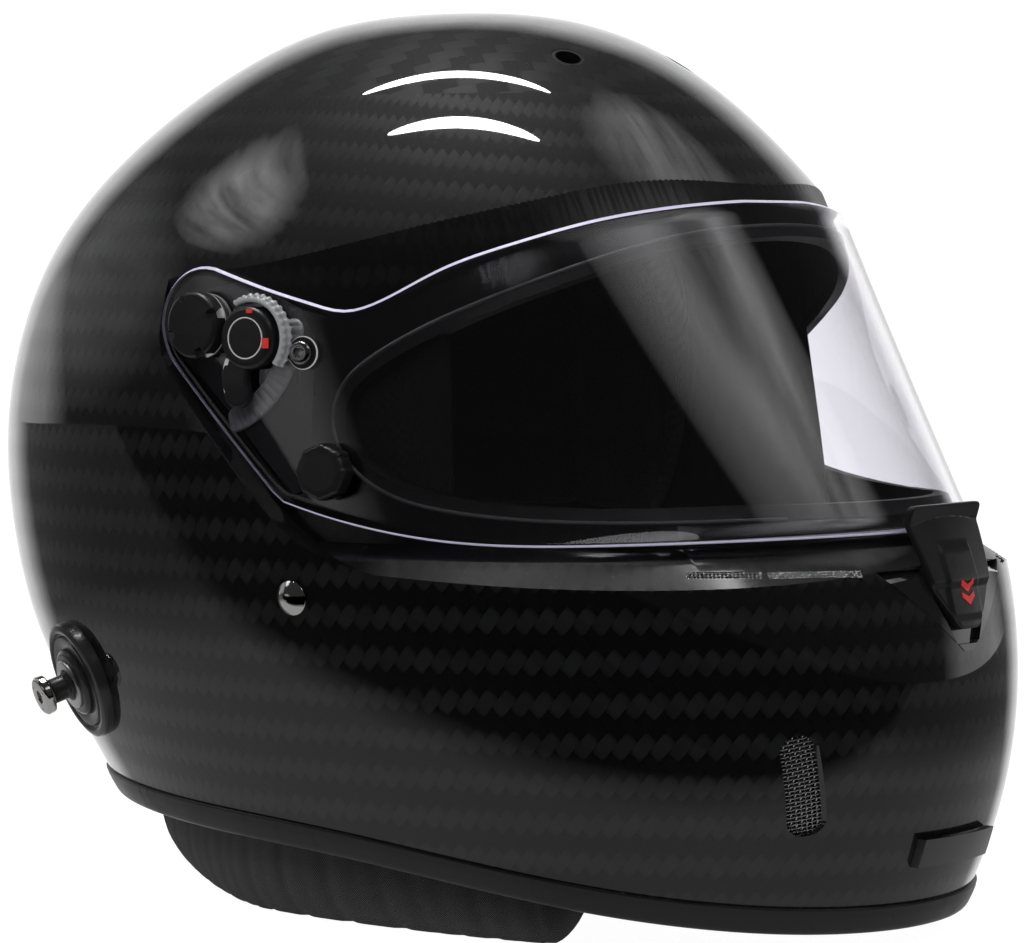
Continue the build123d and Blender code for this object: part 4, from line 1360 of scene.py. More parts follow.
@dataclass(frozen=True)
class Outlines:
    """Side-view lines that the shell, the visor and the trim share, as shares of length and height."""

    edge: tuple = ((-1.3, 0.030), (-0.83, 0.036), (-0.64, 0.048), (-0.39, 0.071), (-0.11, 0.094),
                   (0.22, 0.107), (0.61, 0.114), (1.3, 0.118))
    visor_top: tuple = ((-0.075, 0.6846), (-0.128, 0.6753), (-0.187, 0.6682), (-0.238, 0.6775),
                        (-0.333, 0.713), (-0.428, 0.7408), (-0.509, 0.7635), (-0.603, 0.784))
    visor_low: tuple = ((-0.072, 0.4665), (-0.122, 0.4575), (-0.255, 0.4388), (-0.35, 0.4303),
                        (-0.483, 0.426), (-0.605, 0.4275), (-0.797, 0.4331), (-0.95, 0.438))
    recess_low: tuple = ((-0.075, 0.447), (-0.128, 0.424), (-0.25, 0.398), (-0.44, 0.372))
    port: tuple = ((-1.3, 0.757), (-0.72, 0.757), (-0.61, 0.754), (-0.545, 0.7345), (-0.452, 0.7016),
                   (-0.31, 0.6547), (-0.2256, 0.6223), (-0.174, 0.5928), (-0.1545, 0.555),
                   (-0.169, 0.5217), (-0.2417, 0.4811), (-0.378, 0.4584), (-0.585, 0.4506),
                   (-0.8, 0.4535), (-1.3, 0.4535))
    ear_top: float = 112.0
    ear_low: float = -45.0
    gap: float = 2.3
    top: float = 255.0
    reach: float = 220.0
    steps: int = 90

    @cached_property
    def edge_line(self) -> Array:
        """The shell's lower edge from the front to the rear."""
        return smooth_line(side_points(self.edge), 200)

    @cached_property
    def upper(self) -> Array:
        """The visor's upper edge, from the front back to its ear.

        Returns:
            Pairs of y and z.
        """
        start = LENS.ear_point(np.array([self.ear_top]), LENS.ear)
        line = smooth_line(np.concatenate([start, side_points(self.visor_top)]), self.steps)
        round_ = arc(LENS.pivot, LENS.ear, 0, self.ear_top, self.steps)
        return np.concatenate([round_[:-1], line, [[-self.reach, line[-1, 1]]]])[::-1]

    @cached_property
    def lower(self) -> Array:
        """The visor's lower edge, from the front back to its ear.

        Returns:
            Pairs of y and z.
        """
        line = smooth_line(side_points(self.visor_low), self.steps)
        round_ = arc(LENS.pivot, LENS.ear, 0, self.ear_low, self.steps)
        return np.concatenate([round_, line, [[-self.reach, line[-1, 1]]]])[::-1]

    def recess(self) -> Array:
        """Outline of the room that the recess takes out of the shell.

        Returns:
            Pairs of y and z.
        """
        radius = LENS.ear + self.gap
        low = smooth_line(side_points(self.recess_low), self.steps)
        drop = low[-1, 1] - 40.0
        corners = np.array([[low[-1, 0], drop], [-self.reach, drop], [-self.reach, self.top],
                            [LENS.pivot[0] + radius, self.top]])
        return np.concatenate([arc(LENS.pivot, radius, 0, self.ear_low, 24), low, corners])

    def opening(self) -> Array:
        """Outline of the eye port."""
        return smooth_line(side_points(self.port)[1:-1], 2 * self.steps)


LINES = Outlines()


def heights_on(line: Array) -> Callable:
    """A function that gives a side-view line's height at places along the helmet."""
    return lambda y: np.interp(y, line[:, 0], line[:, 1])


def slopes(surface: Callable, a: float, b: float) -> tuple[float, float, float]:
    """A surface's value at a place, and its two slopes from steps of one millimetre each way.

    Args:
        surface: Gives the value from two numbers.
        a: First number of the place.
        b: Second number of the place.

    Returns:
        The value and the two slopes.
    """
    steps = ((0, 0), (1, 0), (-1, 0), (0, 1), (0, -1))
    here = [float(surface(np.array(a + i), np.array(b + j))) for i, j in steps]
    return here[0], (here[1] - here[2]) / 2, (here[3] - here[4]) / 2


def settle_heights(points_at: Callable, wanted: Callable, start: Array) -> Array:
    """Heights where a column of a surface meets a side-view line, by repeated substitution.

    Args:
        points_at: Gives the y of the column at heights.
        wanted: Gives the line's height at y.
        start: First heights.

    Returns:
        The heights.
    """
    z = start
    for _ in range(30):
        z = 0.5 * z + 0.5 * wanted(points_at(z))
    return z


# The shell


@dataclass(frozen=True)
class Shell:
    """The hard shell: its skin, its recess, its openings and the rubber along its edge."""

    rows: int = 150
    columns: int = 256
    wall: float = 4.0
    far: float = 300.0
    front_stop: float = -100.0
    low_stop: float = -100.0
    crown_sheet: float = 253.0
    seat: tuple = ((-33.0, 113.0), (-2.5, 88.5), (2.5, 88.5), (33.0, 113.0))
    seat_depth: float = 2.4
    slot_x: float = 54.0
    slot_top: float = 67.3
    slot_low: float = 37.5
    slot_half: float = 4.3
    slot_shift: float = 5.0
    shelf_height: float = 112.9
    shelf_tall: float = 3.0
    shelf_slots: tuple = ((68.0, 21.5), (48.55, 28.0))
    shelf_depth: float = 14.0
    crown_hole: tuple = (28.5, -51.5, 5.2)
    trim_section: tuple = (-1.8, 5.8, -3.0, 5.5)
    trim_power: float = 0.45

    def bowl(self, name: str, rows: int, columns: int, inset: float,
             shape: Callable = lambda points: points) -> bpy.types.Object:
        """A closed skin at an inset, from a flat foot to the pole.

        Args:
            name: Its name.
            rows: Levels.
            columns: Steps round.
            inset: Distance under the skin.
            shape: Changes the points.

        Returns:
            The object, with place and turn in its UV map.
        """
        share = np.linspace(0, 1, rows)
        place = SKIN.pole * (share + 0.10 * np.sin(np.pi * share) * share)
        turn = np.linspace(0, 2 * np.pi, columns + 1)
        place, turn = np.meshgrid(np.clip(place, 0, SKIN.pole), turn, indexing="ij")
        points = shape(SKIN.at(place, turn, inset))
        foot = np.repeat(points[:1].mean(axis=1, keepdims=True), columns + 1, axis=1)
        uv = np.stack([np.concatenate([place[:1], place]), np.concatenate([turn[:1], turn])], -1)
        points = np.concatenate([foot, points])
        return add_mesh(name, points, grid_faces(rows + 1, columns + 1), uv)

    def flared(self, name: str, depth: float) -> bpy.types.Object:
        """The block under the recess floor: D-shaped rings over one another.

        Args:
            name: Its name.
            depth: Distance under the floor.

        Returns:
            The block.
        """
        knee = LENS.knee - depth / 2
        z = np.array([-40.0, knee - 2 * LENS.drop, knee, SKIN.top + 40.0])
        half, nose = LENS.floor(z, depth)
        angle = np.linspace(-np.pi / 2, np.pi / 2, 181)
        x, y = LENS.bow(angle[None], half[:, None], nose[:, None])
        rings = np.stack([x, y, z[:, None] + 0 * x], -1)
        back = rings[:, [-1, 0]].copy()
        back[..., 1] = self.far
        return stacked(name, np.concatenate([rings, back], axis=1))

    def slot_outline(self, side: int) -> Array:
        """Front view of a chin slot: a bar with round ends, leaning outwards at its top.

        Args:
            side: 1 on the wearer's left, and -1 on the right.

        Returns:
            Pairs of x and z.
        """
        half = self.slot_half
        top = np.array([side * (self.slot_x + self.slot_shift / 2), self.slot_top - self.slot_half])
        low = np.array([side * (self.slot_x - self.slot_shift / 2), self.slot_low + self.slot_half])
        lean = np.degrees(np.arctan2(*(top - low)[::-1]))
        ends = arc(top, half, lean - 90, lean + 90, 13), arc(low, half, lean + 90, lean + 270, 13)
        return np.concatenate(ends)

    def flare_y(self, x: Array, z: Array) -> Array:
        """Y of the recess's flare at places in front view.

        Args:
            x: Places across.
            z: Heights.

        Returns:
            Places along the helmet.
        """
        half, nose = LENS.floor(z, 0.0)
        share = np.minimum(np.abs(x) / half, 1) ** LENS.power
        return LENS.middle + (nose - LENS.middle) * (1 - share) ** (1 / LENS.power)

    def shelf_seat(self, side: int, across: float) -> Seat:
        """A seat on the flare at a shelf slot, its first way sideways along the flare.

        Args:
            side: 1 on the wearer's left, and -1 on the right.
            across: Distance from the middle.

        Returns:
            The seat.
        """
        ahead, by_width, by_height = slopes(self.flare_y, across, self.shelf_height)
        return Seat(np.array([side * across, ahead, self.shelf_height]),
                    np.array([side * by_width, -1.0, by_height]), np.array([float(side), by_width, 0]))

    def crown_seat(self, side: int) -> Seat:
        """A seat on the skin at a crown hole.

        Args:
            side: 1 on the wearer's left, and -1 on the right.

        Returns:
            The seat.
        """
        x, y, _ = self.crown_hole
        z = np.linspace(SKIN.top * 0.7, SKIN.top * 0.995, 200)
        height = float(np.interp(-x, -SKIN.width(np.full(200, y), z), z))
        return skin_seat(side, y, height)

    def cutters(self) -> list[bpy.types.Object]:
        """The blocks that are taken out of the skin, each with the finish that its cut shows.

        Returns:
            The blocks.
        """
        wall, gloss = Look.WALL, Look.GLOSS
        made = []

        def add(block: bpy.types.Object, look: Look) -> bpy.types.Object:
            """Keeps a block, with the finish of its cut.

            Args:
                block: The block.
                look: The finish.

            Returns:
                The block.
            """
            block.data.materials.append(look.value.material())
            made.append(block)
            return block

        add(self.bowl("cavity", 110, 160, self.wall, lambda p: LENS.inside(p, self.wall)), wall)
        recess = add(prism("recess", LINES.recess(), True, -self.far, self.far), gloss)
        floor = self.flared("floor", 0.0)
        floor.data.materials.append(Look.FLOOR.value.material())
        carve(recess, [floor])
        port = LINES.opening()
        port = np.concatenate([[[-self.far, port[0, 1]]], port, [[-self.far, port[-1, 1]]]])
        add(prism("port", port, True, -self.far, self.far), gloss)
        edge = LINES.edge_line
        below = np.concatenate([edge, [[edge[-1, 0], self.low_stop], [edge[0, 0], self.low_stop]]])
        add(prism("below", below, True, -self.far, self.far), wall)
        seat = add(prism("seat", np.array(self.seat), False, -self.far, self.front_stop), wall)
        under = self.bowl("under", 90, 160, self.seat_depth)
        under.data.materials.append(wall.value.material())
        carve(seat, [under])
        for side, _ in SIDES:
            add(prism("slot", self.slot_outline(side), False, -self.far, self.front_stop), gloss)
            for across, length in self.shelf_slots:
                place = self.shelf_seat(side, across)
                corners = np.array([(-1, -1), (1, -1), (1, 1), (-1, 1)]) * (length / 2, self.shelf_tall / 2)
                flat = [place.place(corners[:, 0], corners[:, 1], np.full(4, h))
                        for h in (-self.shelf_depth, 3.0)]
                add(stacked("shelf", np.stack(flat)), gloss)
            place, round_ = self.crown_seat(side), arc((0, 0), self.crown_hole[2], 0, 352.5, 48)
            flat = [place.place(round_[:, 0], round_[:, 1], np.full(48, h)) for h in (-20.0, 20.0)]
            add(stacked("hole", np.stack(flat)), gloss)
        return made

    def build(self) -> bpy.types.Object:
        """Carves the shell, lays the weave on it and gives the skin its exact normals.

        Returns:
            The shell.
        """
        shell = self.bowl("shell_body", self.rows, self.columns, 0.0)
        carbon = Look.CARBON.value.material()
        shell.data.materials.append(carbon)
        carve(shell, self.cutters())
        mesh = shell.data
        smooth(shell, 38)
        uv = read(mesh.uv_layers[0].data, "uv", np.float32, 2)
        owner = read(mesh.polygons, "material_index", np.int32)
        totals = read(mesh.polygons, "loop_total", np.int32)
        carbon_slot = [m.name for m in mesh.materials].index(carbon.name)
        skin = np.repeat(owner == carbon_slot, totals)
        place, turn = uv.reshape(-1, 2).astype(float).T
        place, turn = np.clip(place, 0, SKIN.pole), np.clip(turn, 0, 2 * np.pi)
        centre = np.add.reduceat(place, np.concatenate([[0], np.cumsum(totals)[:-1]])) / totals
        top = np.repeat(centre > SKIN.level(np.array(self.crown_sheet)), totals)
        weave = SKIN.weave(place, turn, top)
        floor_slot = [m.name for m in mesh.materials].index(Look.FLOOR.value.name)
        on_floor = np.repeat(owner == floor_slot, totals)
        weave[~skin] = 0
        weave[on_floor] = self.floor_weave(mesh)[on_floor]
        mesh.uv_layers[0].data.foreach_set("uv", weave.astype(np.float32).ravel())
        normals = np.zeros((len(skin), 3))
        normals[skin] = SKIN.normal(place[skin], turn[skin])
        mesh.normals_split_custom_set(normals.tolist())
        return settle(shell, "shell", ("outer_shell",))

    @staticmethod
    def floor_weave(mesh: bpy.types.Mesh) -> Array:
        """Where the floor's cloth lies: the angle round the D times its mean radius, and the height.

        Args:
            mesh: The shell's mesh.

        Returns:
            A pair in millimetres for each corner of a face.
        """
        corner = read(mesh.loops, "vertex_index", np.int32)
        place = read(mesh.vertices, "co", float, 3)
        x, y, z = (place.reshape(-1, 3)[corner] / METRES).T
        half = LENS.floor(z, 0.0)[0]
        bow = np.arcsin(signed_power(np.clip(x / half, -1, 1), LENS.power / 2))
        round_ = np.where(y > LENS.middle, np.sign(x) * (np.pi / 2 + (y - LENS.middle) / LENS.mean), bow)
        return np.stack([round_ * LENS.mean, z], -1)

    def build_trim(self) -> bpy.types.Object:
        """The rubber over the edge: a rounded box section carried round the shell's lower edge.

        Its section is the superellipse between four reaches: outward, inward, down and up.

        Returns:
            The trim.
        """
        turn = np.linspace(0, 2 * np.pi, 289)

        def along(z: Array) -> Array:
            """Y of the skin at heights."""
            return SKIN.at_height(z, turn)[:, 1]

        level = settle_heights(along, heights_on(LINES.edge_line), np.full(len(turn), 20.0))
        out, deep, low, high = self.trim_section
        angle = np.linspace(0, 2 * np.pi, 33)[:, None]
        inset = (out + deep) / 2 + (deep - out) / 2 * signed_power(np.cos(angle), self.trim_power)
        rise = (low + high) / 2 + (high - low) / 2 * signed_power(np.sin(angle), self.trim_power)
        notch = 0.25 * np.exp(-((rise - high + 1.6) / 0.5) ** 2) * (np.cos(angle) < 0)
        points = SKIN.at_height(level + rise, turn[None], inset + notch)
        piece = grid_piece("edge_trim", points, angle=60)
        return settle(dress(piece, Look.RUBBER), "shell", ("shell_edge_trim",))


def skin_seat(side: int, y: float, z: float) -> Seat:
    """A seat on the shell's skin, its first way towards the front.

    Args:
        side: 1 on the wearer's left, and -1 on the right.
        y: Place along the helmet.
        z: Height.

    Returns:
        The seat.
    """
    wide, by_y, by_z = slopes(SKIN.width, y, z)
    out = np.array([side, -by_y, -by_z], float)
    return Seat(np.array([side * wide, y, z]), out / np.linalg.norm(out), np.array([0, -1.0, 0]))


# The visor


@dataclass(frozen=True)
class Bead:
    """A small round tube laid along the eye port on the recess floor, coloured grey: a painted highlight
    along the black gasket.
    """

    radius: float = 0.65
    proud: float = 0.45
    samples: int = 20000
    columns: int = 520
    sides: int = 12

    def build(self) -> bpy.types.Object:
        """Carries the tube along the port's line, first on one side and back on the other.

        Returns:
            The bead.
        """
        line = LINES.opening()
        steps = run_lengths(line)
        fine = np.linspace(0, steps[-1], self.samples)
        y, z = (np.interp(fine, steps, line[:, k]) for k in (0, 1))
        half, nose = LENS.floor(z, 0.0)
        kept = y > nose
        y, z, half, nose = y[kept], z[kept], half[kept], nose[kept]
        ahead = np.maximum(LENS.middle - y, 0) / (LENS.middle - nose)
        x = half * (1 - np.minimum(ahead, 1) ** LENS.power) ** (1 / LENS.power)
        side = np.stack([x, y, z], 1)
        sideways = (x / half) ** (LENS.power - 1) / half
        out = np.stack([sideways, -ahead ** (LENS.power - 1) / (LENS.middle - nose), 0 * x], 1)
        whole = np.concatenate([side, side[::-1] * (-1, 1, 1), side[:1]])
        outs = np.concatenate([out, out[::-1] * (-1, 1, 1), out[:1]])
        run = run_lengths(whole)
        at = np.linspace(0, run[-1], self.columns)
        path = np.stack([np.interp(at, run, whole[:, k]) for k in range(3)], 1)
        away = np.stack([np.interp(at, run, outs[:, k]) for k in range(3)], 1)
        away /= np.linalg.norm(away, axis=1, keepdims=True)
        along = np.roll(path[:-1], -1, axis=0) - np.roll(path[:-1], 1, axis=0)
        along = np.concatenate([along, along[:1]])
        across = np.cross(along, away)
        across /= np.linalg.norm(across, axis=1, keepdims=True)
        turn = np.linspace(0, 2 * np.pi, self.sides + 1)[:, None, None]
        points = path + away * self.proud + self.radius * (np.cos(turn) * away + np.sin(turn) * across)
        piece = dress(grid_piece("gasket_bead", points, angle=80), Look.BEAD_HIGHLIGHT)
        return settle(piece, "shell")


@dataclass(frozen=True)
class Visor:
    """The clear visor: one bent sheet with rounded rims, running back to an ear at each side."""

    front_columns: int = 72
    ear_columns: int = 26
    face_rows: int = 26
    rim_rows: int = 8
    rim: float = 1.2

    def build(self) -> bpy.types.Object:
        """A closed section, two faces joined by half circles, carried from ear to ear.

        Returns:
            The visor.
        """
        start = np.arcsin((LENS.middle - LENS.pivot[0]) / LENS.ear)
        straight = LENS.pivot[0] + LENS.ear * np.sin(np.linspace(start, np.pi / 2, self.ear_columns))[1:]
        ahead = np.linspace(0, np.pi / 2, self.front_columns)
        angle = np.concatenate([ahead, np.full(len(straight), np.pi / 2)])
        behind = np.concatenate([np.zeros(self.front_columns), straight - LENS.middle])

        def along(z: Array) -> Array:
            """Y of the visor at heights."""
            return LENS.bow(angle, LENS.half, LENS.nose(z))[1] + behind

        heights = [settle_heights(along, heights_on(line), np.full(len(angle), 170.0))
                   for line in (LINES.upper, LINES.lower)]
        top, low = np.maximum(heights[0], heights[1]), heights[1]
        rim = np.minimum(self.rim, (top - low) / 2)
        up = np.linspace(0, 1, self.face_rows)
        bend = np.linspace(0, np.pi, self.rim_rows + 2)[1:-1]
        half = LENS.thick / 2
        rows = [(low + rim + (top - low - 2 * rim) * s, 0.0) for s in up]
        rows += [(top - rim + rim * np.sin(b), half - half * np.cos(b)) for b in bend]
        rows += [(low + rim + (top - low - 2 * rim) * s, LENS.thick) for s in up[::-1]]
        rows += [(low + rim - rim * np.sin(b), half + half * np.cos(b)) for b in bend]
        rows.append(rows[0])
        z = np.stack([row[0] for row in rows])
        inset = np.array([row[1] for row in rows])[:, None]
        x, y = LENS.bow(angle[None], LENS.half - inset, LENS.nose(z) + inset)
        y = y + behind[None]
        one = np.stack([x, y, z], -1)
        other = one[:, :0:-1] * (-1, 1, 1)
        points = np.concatenate([other, one], axis=1)
        order = np.repeat(np.arange(len(rows))[:, None], points.shape[1], axis=1)
        piece = grid_piece("visor_sheet", points, np.stack([order, order], -1), 50)
        dress(piece, Look.VISOR)
        self.paint_rim_highlights(piece)
        return settle(piece, "visor", ("visor",))

    def paint_rim_highlights(self, piece: bpy.types.Object) -> None:
        """Paints a highlight on the faces of the two rims, with their own pale opaque finish; the UV map
        tells each face's row.

        Args:
            piece: The visor.
        """
        mesh = piece.data
        # Painted highlight: the pale opaque finish on the rim faces.
        mesh.materials.append(Look.RIM_HIGHLIGHT.value.material())
        rows = read(mesh.uv_layers[0].data, "uv", np.float32, 2)
        totals = read(mesh.polygons, "loop_total", np.int32)
        first = np.concatenate([[0], np.cumsum(totals)[:-1]])
        row = np.add.reduceat(rows.reshape(-1, 2)[:, 0].astype(float), first) / totals
        top = (row > self.face_rows) & (row < self.face_rows + self.rim_rows - 1)
        low = (row > 2 * self.face_rows + self.rim_rows) & (row < 2 * (self.face_rows + self.rim_rows) - 1)
        mesh.polygons.foreach_set("material_index", np.where(top | low, 1, 0).astype(np.int32))
        mesh.update()


# Soft goods


@dataclass(frozen=True)
class Head:
    """The room for the head: ellipses over one another, a little behind the eye port."""

    top: float = 243.0
    half_length: float = 108.0
    half_width: float = 82.0
    middle: float = 27.0
    shares: tuple = ((-0.1, 0.80), (0.18, 0.84), (0.4, 0.93), (0.6, 1.0), (0.74, 0.985), (0.86, 0.86),
                     (0.94, 0.65), (0.985, 0.38), (1.0, 0.1))

    def at(self, share: Array, turn: Array, inset: float = 0.0) -> Array:
        """Points of the room's wall at shares of its height.

        Args:
            share: Shares of the height.
            turn: Angles round from the front.
            inset: Distance inside the wall.

        Returns:
            Points.
        """
        table = np.array(self.shares)
        size = np.interp(share, table[:, 0], table[:, 1])
        size = size * np.sqrt(np.clip((1.0005 - share) / 0.02, 0, 1))
        x = (self.half_width - inset) * size * np.sin(turn)
        y = self.middle - (self.half_length - inset) * size * np.cos(turn)
        return np.stack([x, y, (self.top - inset) * share + 0 * x], -1)


@dataclass(frozen=True)
class Lining:
    """Everything soft: liner, crown pad, chin foam, cheek pads, neck roll and straps."""

    head: Head = Head()
    foam_inset: float = 4.5
    liner_low: float = 97.0
    brow_low: float = 214.0
    crown_low: float = 120.0
    crown_thick: float = 8.6
    cheek: tuple = (-102.0, 48.0, 38.5, 94.0)
    face_radius: float = 61.5
    face_middle: float = -51.0
    chin: tuple = (38.0, 98.0, 4.4, 24.0, 46.0)
    roll_half: float = 11.0
    roll_tall: float = 16.6
    roll_inset: float = 22.5
    roll_start: float = 55.0
    strap_wide: float = 20.0
    strap_thick: float = 1.8
    strap_y: float = -19.0

    def low_line(self, turn: Array, low: float) -> Array:
        """Lowest height round the bowl: high over the eye port and low behind it."""
        away = np.abs(np.mod(turn + np.pi, 2 * np.pi) - np.pi)
        return self.brow_low + (low - self.brow_low) * smooth_step(away, np.radians(54), np.radians(68))

    def bowl(self, name: str, outer: Callable, inner: Callable, uv_scale: float) -> bpy.types.Object:
        """A closed bowl: an outer wall up to the pole, an inner wall down again, and a rounded brim.

        Args:
            name: Its name.
            outer: Points of the outer wall from shares up and turns round.
            inner: Points of the inner wall from the same.
            uv_scale: Millimetres round one turn on its UV map.

        Returns:
            The bowl.
        """
        turn = np.linspace(0, 2 * np.pi, 193)[None]
        up = np.linspace(0, 1, 70)[:, None] ** 0.9
        walls = [outer(up, turn), inner(up[::-1], turn)]
        near, far = walls[1][-1], walls[0][0]
        middle, reach = (far + near) / 2, np.linalg.norm(near - far, axis=-1) / 2
        drop = np.minimum(reach, 4.0)[:, None] * (0, 0, 0.9)
        bend = np.linspace(0, np.pi, 9)[1:-1]
        brim = [middle + (near - middle) * np.cos(b) - np.sin(b) * drop for b in bend]
        points = np.concatenate([walls[0], walls[1], np.stack(brim), walls[0][:1]])
        uv = np.stack([turn / (2 * np.pi) * uv_scale + 0 * points[..., 0],
                       np.cumsum(np.full(points.shape[:2], 3.0), axis=0)], -1)
        return grid_piece(name, points, uv, 60)

    def build_liner(self) -> bpy.types.Object:
        """The foam between the shell and the head, with shallow grooves between its blocks.

        Returns:
            The liner.
        """
        deep = self.foam_inset

        def outer(up: Array, turn: Array) -> Array:
            """The wall against the shell.

            Args:
                up: Shares up the wall.
                turn: Angles round from the front.

            Returns:
                Points.
            """
            low = SKIN.level(self.low_line(turn, self.liner_low) + 4, deep)
            place = low + (SKIN.pole - low) * up
            return LENS.inside(SKIN.at(place, turn + 0 * place, deep), deep)

        def inner(up: Array, turn: Array) -> Array:
            """The wall round the head, with its grooves.

            Args:
                up: Shares up the wall.
                turn: Angles round from the front.

            Returns:
                Points.
            """
            low = (self.low_line(turn, self.liner_low) + 4) / self.head.top
            share = low + (1 - low) * np.sin(up * np.pi / 2) ** 1.1
            away = np.mod(turn * 3 / np.pi + 0.5, 1) - 0.5
            groove = 1.2 * np.exp(-away ** 2 / 0.002) * smooth_step(1 - share, 0.05, 0.2)
            return self.head.at(share, turn, -0.1 - groove)

        piece = dress(self.bowl("liner", outer, inner, 640), Look.FOAM)
        return settle(piece, "shell", ("liner_foam",))

    def build_crown_pad(self) -> bpy.types.Object:
        """The quilted pad over the head: panels crowned between sewn channels.

        Returns:
            The pad.
        """

        def share_at(up: Array, turn: Array) -> Array:
            """Share of the room's height at a share up the pad."""
            low = (self.low_line(turn, self.crown_low) + 5) / self.head.top
            return low + (1 - low) * np.sin(up * np.pi / 2) ** 1.1

        def outer(up: Array, turn: Array) -> Array:
            """The wall against the liner."""
            return self.head.at(share_at(up, turn), turn, 0.6)

        def inner(up: Array, turn: Array) -> Array:
            """The wall against the head, crowned between the channels.

            Args:
                up: Shares up the wall.
                turn: Angles round from the front.

            Returns:
                Points.
            """
            share = share_at(up, turn)
            across = np.abs(np.sin(turn * 4))
            rise = np.abs(np.sin(share * 5 * np.pi))
            puff = 1 - np.minimum(across, rise + 0 * across) ** 0.45
            dip = 2.6 * puff * smooth_step(1 - share, 0.02, 0.2)
            return self.head.at(share, turn, self.crown_thick - dip)

        piece = dress(self.bowl("crown_pad_quilted", outer, inner, 500), Look.PAD)
        return settle(piece, "shell", ("crown_pad",))

    def build_chin_foam(self) -> bpy.types.Object:
        """Foam inside the chin bar: a rounded box bent round the front.

        Returns:
            The foam.
        """
        low, high, near, deep, wide = self.chin
        a, b, c = ball_box(60, 160, 0.30)
        z = (low + high) / 2 + (high - low) / 2 * a
        turn = np.radians(wide) * b
        inset = (near + deep) / 2 + (deep - near) / 2 * -c
        points = LENS.inside(SKIN.at_height(z, np.mod(turn, 2 * np.pi), inset), self.foam_inset)
        uv = np.stack([turn * 150, z], -1)
        return settle(dress(grid_piece("chin_foam", points, uv, 60), Look.FOAM), "shell",
                      ("chin_bar_foam",))

    def build_cheek(self, side: int, name: str) -> bpy.types.Object:
        """A cheek pad: a crowned form between the wall and the face, with a sewn edge.

        Args:
            side: 1 on the wearer's left, and -1 on the right.
            name: The side's name.

        Returns:
            The pad.
        """
        front, rear, low, high = self.cheek
        a, b, c = ball_box(72, 144, 0.36)
        z = (low + high) / 2 + (high - low) / 2 * a
        y = (front + rear) / 2 + (rear - front) / 2 * b
        outer = np.minimum(SKIN.width(y, z, 12.0), LENS.half + 2)
        table = np.array(self.head.shares)
        size = np.interp(z / self.head.top, table[:, 0], table[:, 1])
        share = 1 - np.minimum(np.abs(y - self.head.middle) / (self.head.half_length * size), 1) ** 2
        face = self.face_radius + 1
        round_ = np.maximum(1 - ((y - self.face_middle) / face) ** 2, 0)
        inner = np.maximum(self.head.half_width * size * np.sqrt(share), face * np.sqrt(round_))
        inner = np.minimum(np.maximum(inner, 30.0) + 1.0, outer - 6)
        crown = 1 - 0.25 * np.exp(-((1 - np.abs(a)) / 0.10) ** 2)
        crown = crown - 0.25 * np.exp(-((1 - np.abs(b)) / 0.06) ** 2)
        seam = 1.3 * np.exp(-((np.abs(b) - 0.30) / 0.02) ** 2) * (c < 0)
        x = (outer + inner) / 2 + (outer - inner) / 2 * c * crown + seam
        points = np.stack([side * x, y, z], -1)
        piece = dress(grid_piece("cheek_pad_cover_" + name, points, np.stack([y, z], -1), 60), Look.PAD)
        return settle(piece, "shell", ("cheek_pad_" + name,))

    def build_roll(self) -> bpy.types.Object:
        """The neck roll: an ellipse carried round the neck, gathered at its seam and closed at its ends.

        Its radius is 1 less small gathers, sines of many turns whose size fades away from the seam.

        Returns:
            The roll.
        """
        share = np.linspace(0, 1, 340)[:, None]
        turn = np.radians(self.roll_start + (360 - 2 * self.roll_start) * share)
        level = SKIN.level(np.array(17.0))
        ring = SKIN.at(np.full(turn.shape, level), turn, self.roll_inset)
        ahead = SKIN.at(np.full(turn.shape, level), turn + 0.01, self.roll_inset) - ring
        ahead = ahead / np.linalg.norm(ahead, axis=-1, keepdims=True)
        across = np.stack([ahead[..., 1], -ahead[..., 0], 0 * ahead[..., 0]], -1)
        rise = 15.0 * smooth_step(ring[..., 1:2], 25.0, 125.0)
        angle = np.linspace(0, 2 * np.pi, 57)[None]
        past = np.abs(share - 0.5) * 2 - 0.965
        end = np.sqrt(np.clip(1 - past / 0.035 * (past > 0), 0, 1))
        gather = 0.02 * np.sin(share * 420 + 2 * np.sin(angle)) + 0.016 * np.sin(share * 233 + angle)
        seam = 0.07 * np.exp(-((np.mod(angle, 2 * np.pi) - 0.75 * np.pi) / 0.07) ** 2)
        size = end * (1 - 0.6 * gather ** 2 * 20 - gather * 0.6 - seam)
        middle = ring + np.concatenate([0 * rise, 0 * rise, rise + 16.4 - ring[..., 2:3]], -1)
        side = (self.roll_half * size * np.cos(angle))[..., None] * across
        up = (self.roll_tall * size * np.sin(angle))[..., None] * np.array([0, 0, 1.0])
        points = middle + side + up
        points[..., 2] = np.maximum(points[..., 2], 0.3)
        uv = np.stack([share * 620 + 0 * angle, angle * 14 + 0 * share], -1)
        piece = dress(grid_piece("neck_roll_cover", points, uv, 70), Look.ROLL)
        return settle(piece, "shell", ("neck_roll",))

